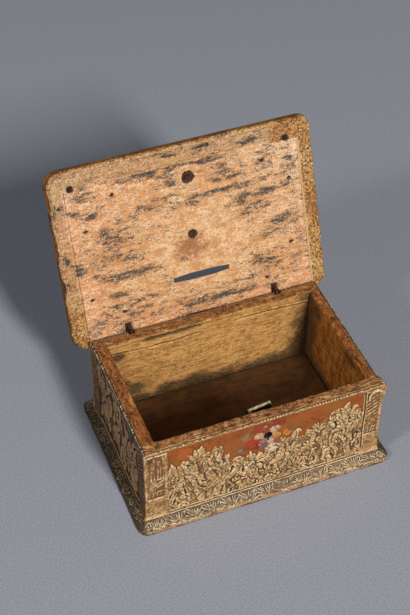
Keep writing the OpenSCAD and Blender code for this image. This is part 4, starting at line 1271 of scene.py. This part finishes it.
def makeLidBoard(material):
    art = Moulding((-lid["windowX"], lid["windowBack"]), (lid["windowX"], lid["windowFront"]), lid["step"])
    u, v = art.u, art.v
    spots = flat(u, v)
    away, soot = lidWeather(u, v)
    height = -0.12 * cloud(spots, (30, 6, 9), 91, 3) - 0.07 * cloud(spots, (7, 0.9, 1), 92, 2)
    rough = ease(away + 0.5 * cloud(spots, (16, 9, 9), 93, 3), 0.75, 1.3)
    height -= 0.3 * (0.25 + 0.75 * rough) * ease(cloud(spots, (3.2, 1.8, 1), 94, 3), 0.4, 0.62)
    for k, (x, s) in enumerate(lid["nailHoles"]):
        ragged = 0.7 * (cloud(spots, 1.4, 300 + k, 2) - 0.5)
        height -= 1.5 * (1 - np.hypot((u - x) / 1.9, (v - s) / 1.3) - ragged).clip(0) ** 0.5
    for x in lid["hinges"]:
        pocket = (np.abs(u - x) < lid["pocketHalf"]) & (v > lid["pocketBack"]) & (v < lid["pocketFront"])
        height[pocket] = -lid["pocketDepth"]
    ragged = 1.6 * (cloud(spots, 2.5, 96, 2) - 0.5)
    for key in ("hasp", "handle"):
        (x, s), radius, depth = lid[key], lid[key + "Radius"], lid[key + "Depth"]
        sunk = ease(np.hypot(u - x, v - s) + ragged, radius + 0.4, radius - 0.6)
        height = np.minimum(height, -depth * sunk)
    for x, s in lid["nails"]:
        height -= nailHollow(u - x, v - s)
    x, s, length, width = lid["stain"]
    stain = 1.3 * (1 - np.hypot((u - x) / length, (v - s) / width)).clip(0)
    # pit: the deep recesses, where the finish paints shade
    marks = {"pit": ease(height, -0.5, -1.0)[..., None], "soot": soot, "stain": stain, "outer": away}

    def place(x, s, h):
        return onLid(x, s, lidLow[2] - h)

    part = slab(u, v, height.clip(-lid["pocketDepth"], 0), place, lidLow[2] - lidHigh[2], marks)
    piece = addPiece("lidBoard", [part], "lid", material, ["lid_board"])
    cut(piece, slotCorners(lidLow[2] - 1, lidHigh[2] + 1))


def nailHollow(x, s):
    return 0.9 * ease(np.hypot(x, s) / lid["nailHollow"], 1.1, 0.5)


def roundedPath(low, high, corner, step):  # points along a rounded rectangle, and their outward directions
    points, outwards = [], []
    for k, (cx, cy) in enumerate([(high[0] - corner, high[1] - corner), (low[0] + corner, high[1] - corner),
                                  (low[0] + corner, low[1] + corner), (high[0] - corner, low[1] + corner)]):
        turn = np.linspace(k, k + 1, int(corner * math.pi / 2 / step) + 2) * math.pi / 2
        arc = np.stack([np.cos(turn), np.sin(turn)], 1)
        points.append(np.array((cx, cy)) + corner * arc)
        outwards.append(arc)
    path, ways = [], []
    for k in range(4):
        a, b = points[k][-1], points[(k + 1) % 4][0]
        count = max(2, int(np.linalg.norm(b - a) / step))
        share = np.linspace(0, 1, count + 1)[1:-1, None]
        path += [points[k], a + (b - a) * share]
        ways += [outwards[k], np.repeat(outwards[k][-1:], len(share), 0)]
    return np.vstack(path), np.vstack(ways)


lidRim = {
    "underSteps": 26, "sideSteps": 8,
    "grit": 0.55, "lump": 0.3, "wear": 0.25,  # depths of its roughness
    "strip": {"back": 0.5, "right": 1.0, "left": 0.15, "front": 0.0},  # the pale strip by the wood
    "stripAt": 0.9, "grooveDepth": 0.4,
    "knocks": 0.5, "leftKnocks": 1.4, "knockedCorner": 1.6,
    "proud": 0.35,  # how far it stands out, except over the walls and beads of the closed box
    "room": 0.6, "beadRoom": (84.8, 110.0),
}


def makeLidRim(material):
    # the gilt border on the underside, rounded over into the edge band; path runs along its outer edge
    path, ways = roundedPath(lidLow, lidHigh, lid["corner"], lid["step"])
    inner = np.stack([path[:, 0].clip(-lid["windowX"], lid["windowX"]),
                      path[:, 1].clip(lid["windowBack"], lid["windowFront"])], 1)
    right, left = path[:, 0] > inner[:, 0] + 1, path[:, 0] < inner[:, 0] - 1
    front = path[:, 1] > inner[:, 1] + 1
    bend = lid["round"]
    under = np.linspace(0, 1, lidRim["underSteps"])
    side = np.linspace(lidLow[2] + bend, lidHigh[2], lidRim["sideSteps"])[1:]
    turn, rows = len(under), np.arange(len(under) + len(side) + 1)
    width = np.linalg.norm(path - inner, axis=1)[:, None]
    rings = np.zeros((len(path), len(rows), 3))
    rings[:, :turn, :2] = inner[:, None] + (path - inner)[:, None] * under[:, None]
    rings[:, :turn, 2] = lidLow[2] + (bend - quarterRound(width * (1 - under), bend))
    rings[:, turn:-1, :2] = path[:, None]
    rings[:, turn:-1, 2] = side
    rings[:, -1, :2] = inner
    rings[:, -1, 2] = lidHigh[2]
    spots = rings.copy()
    x, s = spots[..., 0], spots[..., 1]
    away, soot = lidWeather(x, s)
    grit, lump, wear = cloud(spots, 1.6, 101, 2), cloud(spots, 4.5, 102, 2), cloud(spots, 14, 103, 3)
    room = lidRim["room"]
    inBody = (np.abs(x) < bodyHigh[0] + room) & (s < bodyHigh[1] * 2 + room)
    inBody |= (np.abs(x) < lidRim["beadRoom"][0]) & (s < lidRim["beadRoom"][1])
    hollow = sum(nailHollow(x - nailX, s - nailS) for nailX, nailS in lid["nails"])
    drop = lidRim["grit"] * ease(grit, 0.75, 0.3) + lidRim["lump"] * lump + lidRim["wear"] * wear
    below = rows < turn
    fromWood = width * np.concatenate([under, np.ones(len(side) + 1)])
    clear = np.full((len(path), 1), lidRim["strip"]["back"])
    for there, key in ((right, "right"), (left, "left"), (front, "front")):
        clear[there] = lidRim["strip"][key]
    line = clear * ease(np.abs(fromWood - lidRim["stripAt"]), 0.9, 0.4) * below
    groove = ease(fromWood, 0.7, 0.2) * (left & ~front)[:, None] * below
    down = (drop * (1 - 0.6 * line) + lidRim["grooveDepth"] * groove + hollow) * below
    rings[..., 2] += down - np.where(inBody, 0.0, lidRim["proud"]) * below
    knocks = (lidRim["knocks"] + lidRim["leftKnocks"] * left)[:, None]
    uneven = knocks * ease(cloud(spots, (9, 9, 60), 104, 3), 0.45, 0.85)
    uneven += lidRim["knockedCorner"] * ease(np.hypot(x - lidLow[0], s - lidHigh[1]), 14, 3)
    sideways = (drop + uneven) * ((rows > turn - 7) & (rows < rows[-1]))
    rings[..., :2] -= ways[:, None] * sideways[..., None]
    # where the gilding is gone from the wood, along the front and the left
    reach = fromWood + 7 * (cloud(spots, 6, 105, 3) - 0.5)
    bare = front[:, None] * ease(reach, 16, 12) * ease(x, 80, 45)
    bare = np.maximum(bare, left[:, None] * ease(reach, 15, 11) * (0.35 + 0.65 * ease(s, 15, 55))) * below
    # cavity: low in the sunk grains, where the gilding gets painted shade
    cavity = (ease(grit, 0.2, 0.75) * 0.75 + 0.25 * lump).clip(0, 1)
    spots[..., 2] -= lidLow[2]
    # pit: the nail hollows and the groove, which get painted shade
    marks = {
        "spot": spots, "cavity": cavity, "line": line, "pit": ease(hollow, 0.3, 0.7) + 0.7 * groove,
        "soot": soot, "outer": away, "stain": 0 * soot, "bare": bare,
        "far": ease(fromWood + 3 * (lump - 0.5), 0.5, 3.5),
        "side": np.broadcast_to(ease(rows, turn - 2.5, turn + 3.0), line.shape),
    }
    part = loft(onLid(rings[..., 0], rings[..., 1], rings[..., 2]), True, marks)
    mesh = makeMesh("lidRim", [part], True)
    addPiece("lidRim", mesh, "lid", material, ["lid_border", "lid_edging"])


lidOrnament = {
    "step": 0.75, "rise": 0.7,
    "frame": 8.5, "frameLeaf": 4.4, "frameLeafPitch": 7,
    "pitch": (21.0, 30.4), "ring": 8.0, "rosette": 6.4, "leafAt": 9.2, "leaf": 4.6,
}


def makeLidRelief(material):
    # rings with rosettes and leaves in rows round the handle, in a frame of paired leaves
    low, high = np.array((-lidHigh[0], lidLow[1])), lidHigh[:2]
    art = Moulding(low, high, lidOrnament["step"])
    rng = np.random.default_rng(121)
    rise = lidOrnament["rise"]

    def corners(inset):
        (left, back), (right, front) = low + inset, high - inset
        return np.array([(left, back), (right, back), (right, front), (left, front), (left, back)])

    for inset in (1.2, lidOrnament["frame"] - 1.0):
        art.ridge(corners(inset), 0.9, rise * 0.9)
    ends = corners(lidOrnament["frame"] / 2)
    for a, b in ((ends[0], ends[1]), (ends[3], ends[2]), (ends[0], ends[3]), (ends[1], ends[2])):
        count = int(np.linalg.norm(b - a) / lidOrnament["frameLeafPitch"])
        heading = math.atan2(*(b - a)[::-1])
        for k in range(count):
            for turn in (1, -1):
                art.leaf(a + (b - a) * (k + 0.5) / count, heading + turn * 0.7, lidOrnament["frameLeaf"],
                         turn * -1.2, 0.9, rise)
    places = [(k, row) for row in (-1, 0, 1) for k in range(-3, 4) if row >= 0 or abs(k) > 1]
    for k, row in places:  # clear of the slot
        x, s = np.array(lid["handle"]) + (k * lidOrnament["pitch"][0], row * lidOrnament["pitch"][1])
        art.ring((x, s), lidOrnament["ring"], 0.9, rise)
        if k or row:
            art.rosette((x, s), lidOrnament["rosette"], 6, rise, rng.uniform(0, 1))
        for turn in range(4):
            way = math.pi * (turn / 2 + 0.25)
            foot = spotAt((x, s), way, lidOrnament["leafAt"])
            art.leaf(foot, way, lidOrnament["leaf"], 0.8, 1.8, rise * 0.9, 2)
    art.wear(131, 0.45, 0.06)
    # drawn on a rectangle, then drawn in at the lid's rounded corners
    reach = np.minimum(art.v - low[1], high[1] - art.v)
    half = high[0] - lid["corner"] + quarterRound(reach, lid["corner"])
    height = (lidTop - lidHigh[2]) / 2 + art.height.clip(-0.3, rise)

    def place(x, s, h):
        return onLid(x, s, lidHigh[2] + h)

    part = slab(art.u * half / high[0], art.v, height, place, 0.0, art.marks())
    piece = addPiece("lidRelief", [part], "lid", material, ["lid_relief"])
    cut(piece, slotCorners(lidHigh[2] - 1, lidTop + 1))


def lidWoodColour(make, spot):
    # pale bare wood with salmon patches, soot along the grain, brown strokes and specks and a clean middle
    soot, outer, stained = make.marks("soot", "outer", "stain")
    fine = make.noise(spot, 0.95, 4.0, 0.75)
    grit = make.noise(spot, (0.7, 1.3, 1), 3.0, 0.8)
    fibre = make.noise(spot, (0.11, 1.6, 1), 3.0, 0.7)
    mottle = make.noise(spot, (0.1, 0.16, 1), 4.0, 0.65, 0.4)
    patch = make.noise(spot, (0.035, 0.06, 1), 3.0, 0.6)
    crust = make.noise(spot, (0.28, 0.42, 1), 4.0, 0.75)
    salmon = mottle * 0.3 + patch * 0.35 + crust * 0.35 + (fine - 0.5) * 0.3 + (outer - 0.85) * 0.18
    toCorner = make.split(spot, "X") + make.split(spot, "Y") + (crust - 0.5) * 160
    streak = fibre * 0.5 + grit * 0.5 + (fine - 0.5) * 0.6
    flakes = crust * 0.7 + fine * 0.3 + (outer - 1.0) * 0.1
    stain = (crust * 0.6 + grit * 0.4 - 0.5) * 9 + stained * 1.2 - 0.5
    grey = fine * 0.4 + grit * 0.35 + crust * 0.25 + (soot - 0.62) * 0.35 + (fibre - 0.5) * 0.2
    strokes = abs(make.noise(spot, (0.26, 0.62, 1), 2.0, 0.6, 1.0) - 0.5).ease(0.075, 0.04)
    struck = (crust * 0.6 + mottle * 0.4 + (soot - 0.4) * 0.2).ease(0.49, 0.54)
    dark = grit * 0.45 + fine * 0.4 + fibre * 0.15 + (soot - 0.6) * 0.24
    specks = fine * 0.5 + grit * 0.5 - (outer - 0.8) * 0.05
    base = make.coats(
        make.mix((mottle * 0.5 + crust * 0.5 + (fine - 0.5) * 0.4).ease(0.42, 0.58), "cb915a", "f4cc9f"),
        (salmon.ease(0.5, 0.56) * 0.6, "dc9159"),
        (toCorner.ease(95.0, 200.0) * 0.7, "f4cda2"),  # paler towards the right front corner
        (streak.ease(0.55, 0.66) * 0.6, "f8dcb4"),
        (streak.ease(0.45, 0.35) * 0.6, "a3683a"),
        (flakes.ease(0.535, 0.575) * outer.ease(0.4, 1.0) * 0.5, "fbe6c6"),
        (stain.ease(-0.1, 0.4) * stained.ease(0.0, 0.3) * 0.8, "925429"),
        (grey.ease(0.49, 0.6) * 0.7, "7c776a"),
        (strokes * struck * outer.ease(0.15, 0.6) * 0.8, "4d301c"),
        (dark.ease(0.53, 0.57) * soot.ease(0.2, 0.45) * 0.85, "3b3732"),
        (specks.ease(0.4, 0.36) * 0.8, "5f3a20"),
    )
    return base, fibre * 0.2 + grit * 0.4 + crust * 0.4


def lidWoodMaterial():
    make = Finish("lidWood")
    spot, pit = make.mark("spot", "Vector"), make.mark("pit")
    base, bump = lidWoodColour(make, spot)
    # painted shade: dark brown in the nail holes, hinge pockets, hasp and handle recesses
    brown = make.mix(make.noise(spot, 1.0, 3.0).ease(0.4, 0.65), "20130b", "5a3319")
    return make.surface(make.mix(pit, base, brown), 0.62 + bump * 0.2, bump, 0.75, 0.4)


def gildingMaterial(name, onRim):
    # granular ochre and gold, rubbed pale in places, painted shade in its hollows; on the rim it is lost from
    # parts of the wood
    make = Finish(name)
    spot, cavity = make.mark("spot", "Vector"), make.mark("cavity")
    fine = make.noise(spot, 1.2, 4.0, 0.75)
    blotch = make.noise(spot, 0.06, 4.0, 0.65)
    grains = make.cells(make.vectors("ADD", spot, make.noise(spot, 0.8, 2.0, 0.5, 0.0, "Color")), 0.68)
    patch = (blotch + (fine - 0.5) * 0.3).ease(0.42, 0.58)
    grit = grains + (fine - 0.5) * 0.6
    amount = 1.0 if onRim else 0.35
    body = make.coats(
        make.mix(patch, "a87336", "c4955a"),
        (grit.ease(0.36, 0.16) * (patch * 0.3 + 0.5) * amount, "f4d49c"),
        (grit.ease(0.55, 0.7) * amount * 0.8, "57371a"),
        # painted shade in the hollows
        ((cavity + (fine - 0.5) * 0.5).ease(0.24, 0.05) * 0.75, "4c3016"),
        (fine.ease(0.33, 0.26) * 0.7, "3a2412"),
    )
    if onRim:
        far, soot, bare, line, side, pit = make.marks("far", "soot", "bare", "line", "side", "pit")
        clear = far * soot.ease(0.85, 0.55)
        arcs = abs(make.cells(spot, 0.3) - 0.42).ease(0.12, 0.04) * far * soot.ease(0.7, 0.9)
        crack = abs(make.noise(spot, 0.3, 3.0, 0.6, 0.8) - 0.5).ease(0.022, 0.008) * far
        wood = make.coats(
            lidWoodColour(make, spot)[0],
            # painted shade in the hollows of the bare wood
            ((cavity + (fine - 0.5) * 0.5).ease(0.26, 0.08) * 0.5, "5a3c20"),
            ((blotch * 0.5 + fine * 0.5).ease(0.46, 0.56) * clear * 0.6, "c09a58"),
            (clear * 0.25, "a87a46"),
            ((blotch * 0.4 + fine * 0.6).ease(0.52, 0.62) * clear * 0.5, "e4c89a"),
            (arcs * 0.85, "201c18"),
            (crack * 0.75, "452c16"),
        )
        body = make.coats(
            body,
            ((bare + (fine - 0.5)).ease(0.35, 0.65), wood),
            (line * 0.7, "dfbe90"),
            ((side + (fine - 0.5) * 0.4).ease(0.15, 0.85) * 0.85,
             make.mix((fine * 0.6 + blotch * 0.4).ease(0.4, 0.6), "65401d", "a67536")),
            # painted shade in the nail hollows and the groove
            (pit, "33200f"),
        )
    else:
        # on the lid's top: painted shade on the ground between the ornament, a painted highlight on its
        # crests
        low = (make.mark("lift") + (fine - 0.5) * 0.3).ease(0.28, 0.05)
        body = make.coats(
            body,
            (low * 0.85, make.mix(patch, "4a2c18", "74461f")),
            ((cavity + (fine - 0.5) * 0.6).ease(0.55, 0.75) * 0.7, "ecc98c"),
        )
    return make.surface(body, 0.5 + fine * 0.3, fine * 0.6 - grains * 0.4, 0.7, 0.4, 0.1)


# Iron

def ironMaterial(name, dark, rust, pale, amount, metallic, shadedBelowLip=False):
    # dark pitted iron with rust and paler rubbed places; a lipped piece gets painted shade, near-black, but
    # for its lip
    make = Finish(name)
    spot = make.add("ShaderNodeTexCoord", outlet="Object")
    pits = make.noise(spot, 900.0, 4.0, 0.65)
    scale = make.noise(spot, 260.0, 3.0)
    base = make.mix(pits.ease(0.4, 0.62), dark, rust)
    base = make.mix(scale.ease(0.5, 0.7) * amount, base, pale)
    # painted shade: near-black wherever the lip mark is 0
    if shadedBelowLip:
        base = make.mix(make.mark("lip"), "120c07", base)
    return make.surface(base, 0.45 + pits * 0.35, pits, 0.5, 0.2, metallic)


ironNodes = {
    "wrought": ["left_hinge_box_eye", "right_hinge_box_eye", "left_hinge_lid_eye", "right_hinge_lid_eye",
                "lid_nails", "hasp_stub", "handle_stub", "lock_nails", "corner_nails", "base_nails"],
    "sheet": ["lock_bolt", "bolt_spring", "key_pin"],
}
lockBend = {
    "voxel": 0.35, "cheek": 5,  # how far in from each end the top edge is bent
    "out": 1.7, "sag": 1.1, "broken": 3.2, "rough": 0.12, "lip": 4.1,
}


def makeLockCase(material):  # the sheet case, its upper edge bent and worn and one cheek broken down
    worn = remeshed("lock_case", lockBend["voxel"])
    low, high = span("lock_case")
    spots = np.array([v.co for v in worn.vertices]) / mm
    middle = (low[0] + high[0]) / 2
    outer = (high[0] - low[0]) / 2 - lockBend["cheek"]
    share = ((spots[:, 0] - middle) / outer / 2 + 0.5).clip(0, 1)
    depth = (spots[:, 1] - low[1]) / (high[1] - low[1])
    top = ease(spots[:, 2], high[2] - 11, high[2])
    lip = ease(spots[:, 2], high[2] - lockBend["lip"], high[2])
    # the lip mark: where the sheet keeps its colour; below it and on the cheeks it gets painted shade
    unshaded = ease(spots[:, 2] - high[2] - 1.6 * share, -2.9, -2.3)
    addMark(worn, "lip", (unshaded * ease(np.abs(spots[:, 0] - middle), outer - 0.7, outer - 1.1))[:, None])
    spots[:, 1] += lockBend["out"] * share ** 1.5 * top * depth
    spots[:, 2] -= lockBend["sag"] * (1 - share) * lip
    spots[:, 2] -= lockBend["broken"] * lip * ease(spots[:, 0], middle + outer - 1.2, middle + outer - 0.6)
    spots += lockBend["rough"] * (cloud(spots, 3, 141, 2)[:, None] - 0.5) * (0, 1, 1)
    worn.vertices.foreach_set("co", (spots * mm).astype(np.float32).ravel())
    worn.shade_smooth()
    addPiece("lockCase", worn, "box", material, ["lock_case"])


def dressIron():
    finishes = {
        "wrought": ironMaterial("wroughtIron", "1c120b", "4d2d18", "8a7460", 0.4, 0.45),
        "sheet": ironMaterial("sheetIron", "5f5746", "9a8a64", "e0d8b8", 0.8, 0.5),
    }
    for look, names in ironNodes.items():
        for name in names:
            slots = frame["nodes"][name].data.materials
            slots.clear()
            slots.append(finishes[look])
    makeLockCase(ironMaterial("lockSheet", "8f8468", "c2b184", "fff6d8", 0.9, 0.35, True))


# Finishes of the faces and boards, and the making of every piece

# darker copy of the paste for the side faces: their dirt, and painted shade
shadedSidePaste = dict(pasteColours, cream="8c6035", tan="523419", crestHighlight="cfa674", gilt="5a3b27", rust="5a3a26",
                 dust="48341f", creviceDirtAndShade="1a0f08", low="2a1a10", olive="5f4a2a")
frontPaste = pasteMaterial("frontPaste", pasteColours)
plainPaste = pasteMaterial("plainPaste", dict(
    pasteColours, creviceDirtAndShade="452a12", cream="d2af7b", tan="906639", gilt="a5682c", low="74491f",
    crestHighlight="f6dfb4"))
dullShadedPaste = pasteMaterial("dullShadedPaste", shadedSidePaste, 0.45)
quietPaste = pasteMaterial("quietPaste", dict(
    pasteColours, cream="b89663", tan="7c5a32", crestHighlight="d8b986", gilt="8f5524", rust="6f3d1a"), 0.3)
beadPaste = pasteMaterial("beadPaste", dict(
    pasteColours, cream="cdb083", tan="a58152", creviceDirtAndShade="5a3c20", low="6b4826"))
sideBead = pasteMaterial("sideBead", dict(
    shadedSidePaste, cream="d8c6a4", tan="8a6f4e", crestHighlight="fff4dc", gilt="8a6240"))
leafPaste = leafMaterial("leafPaste", {
    "dark": "7c684f", "light": "b09877", "warm": "b08a5c", "low": "64503a", "creviceDirtAndShade": "3e2d1f",
    "crestHighlight": "e8d8bc", "right": "c8a276", "end": "6b5a47", "bareDark": "7a5634", "bareLight": "d2aa80",
})
# darker copy of the leaf finish for the side bands: soot, and painted shade
sootyShadedLeaf = leafMaterial("sootyShadedLeaf", {
    "dark": "4c3f2d", "light": "665740", "warm": "6e5636", "low": "3a2e20", "creviceDirtAndShade": "211810",
    "crestHighlight": "a39066", "right": "4d3f2b", "end": "40331f", "bareDark": "33261a", "bareLight": "54422c",
}, 0.4)
looks = {
    "front": (frontPaste, plainPaste, beadPaste, leafPaste),
    "left": (dullShadedPaste, dullShadedPaste, sideBead, sootyShadedLeaf),
    "right": (quietPaste, quietPaste, sideBead, sootyShadedLeaf),
    "back": (quietPaste, quietPaste, beadPaste, leafPaste),
}
for side, (relief, plain, bead, leaf) in looks.items():
    makeWallRelief(side, relief)
    makePilasters(side, plain)
    makeBeads(side, bead)
    makeLeaves(side, leaf)
    print(side, "face")

wallWood = {
    "dark": "a3733a", "light": "e2ae69", "line": "5f3f1f", "pale": "f0cd92", "stain": "463621",
    "topDark": "633c1d", "topLight": "b07438", "topPale": "dba96c",
}
endWood = dict(wallWood, dark="6f3e10", light="c0822a", line="3f220b", pale="d69f4b", stain="3d2f22",
               topDark="5c3316", topLight="a9642c", topPale="d69c5a")
frontWood = dict(wallWood, topDark="482a14", topLight="b87c42", topPale="f0c48c")
makeBoard("back", boardMaterial("backWood", wallWood, (0.06, 0.5, 0.5), 0.85), backCracks)
makeBoard("right", boardMaterial("rightWood", endWood, (0.45, 0.05, 0.3), 0.75))
makeBoard("left", boardMaterial("leftWood", endWood, (0.45, 0.05, 0.3), 0.7))
makeBoard("front", boardMaterial("frontWood", frontWood, (0.06, 0.5, 0.5), 0.7))
makeBase(baseMaterial())
print("boards")
makeLidBoard(lidWoodMaterial())
makeLidRim(gildingMaterial("lidGilding", True))
makeLidRelief(gildingMaterial("lidTopGilding", False))
print("lid")
dressIron()
print("iron")


# Stage, lamps and camera

stageLook = {"floor": "acb2c1", "fleck": "989eae", "size": 6.0}
cameraPlace = {
    "azimuth": -21.67, "elevation": 43.99, "roll": 0.17, "distance": 1.134,
    "target": (0.0443, 0.1654, -0.0428), "lens": 81.95, "sensor": 36.0,
}
lamps = {
    "key": {"from": (0.2, -1.36, 1.0), "distance": 4.5, "size": (0.5, 1.1), "power": 172.0,
            "colour": "fff9f0"},
    "fill": {"from": (-1.35, -0.5, 1.0), "distance": 3.0, "size": (0.4, 0.4), "power": 24.0,
             "colour": "fff9f4"},
}
worldLight = {"colour": "d2d6de", "strength": 0.083}


def makeStage():
    half = stageLook["size"] / 2
    mesh = bpy.data.meshes.new("floor")
    corners = [(-half, -half, 0), (half, -half, 0), (half, half, 0), (-half, half, 0)]
    mesh.from_pydata(corners, [], [(0, 1, 2, 3)])
    make = Finish("floorPaper")
    tone = make.noise(make.add("ShaderNodeTexCoord", outlet="Object"), 900, 2.0)
    paper = make.mix(tone.ease(0.35, 0.65), stageLook["floor"], stageLook["fleck"])
    mesh.materials.append(make.surface(paper, 0.85 + tone * 0.1, tone, 0.1, 0.1))
    addObject("floor", mesh)


def makeLamp(name, options):
    data = bpy.data.lights.new(name, "AREA")
    data.shape = "RECTANGLE"
    data.size, data.size_y = options["size"]
    data.energy = options["power"]
    data.color = colour(options["colour"])
    lamp = addObject(name, data)
    away = Vector(options["from"]).normalized()
    lamp.location = away * options["distance"]
    lamp.rotation_euler = away.to_track_quat("Z", "Y").to_euler()


def makeCamera(options):
    data = bpy.data.cameras.new("camera")
    data.lens, data.sensor_width = options["lens"], options["sensor"]
    camera = addObject("camera", data)
    turn = (Matrix.Rotation(math.radians(options["azimuth"]), 4, "Z")
            @ Matrix.Rotation(math.radians(90 - options["elevation"]), 4, "X"))
    back = turn @ Vector((0, 0, options["distance"]))
    camera.matrix_world = (Matrix.Translation(Vector(options["target"]) + back) @ turn
                           @ Matrix.Rotation(math.radians(options["roll"]), 4, "Z"))
    bpy.context.scene.camera = camera


makeStage()
for name, options in lamps.items():
    makeLamp(name, options)
makeCamera(cameraPlace)
world = bpy.data.worlds.new("studio")
world.use_nodes = True
background = world.node_tree.nodes["Background"].inputs
background["Color"].default_value = (*colour(worldLight["colour"]), 1)
background["Strength"].default_value = worldLight["strength"]
bpy.context.scene.world = world
bpy.context.scene.view_settings.view_transform = "Standard"
print("stage, lamps and camera")
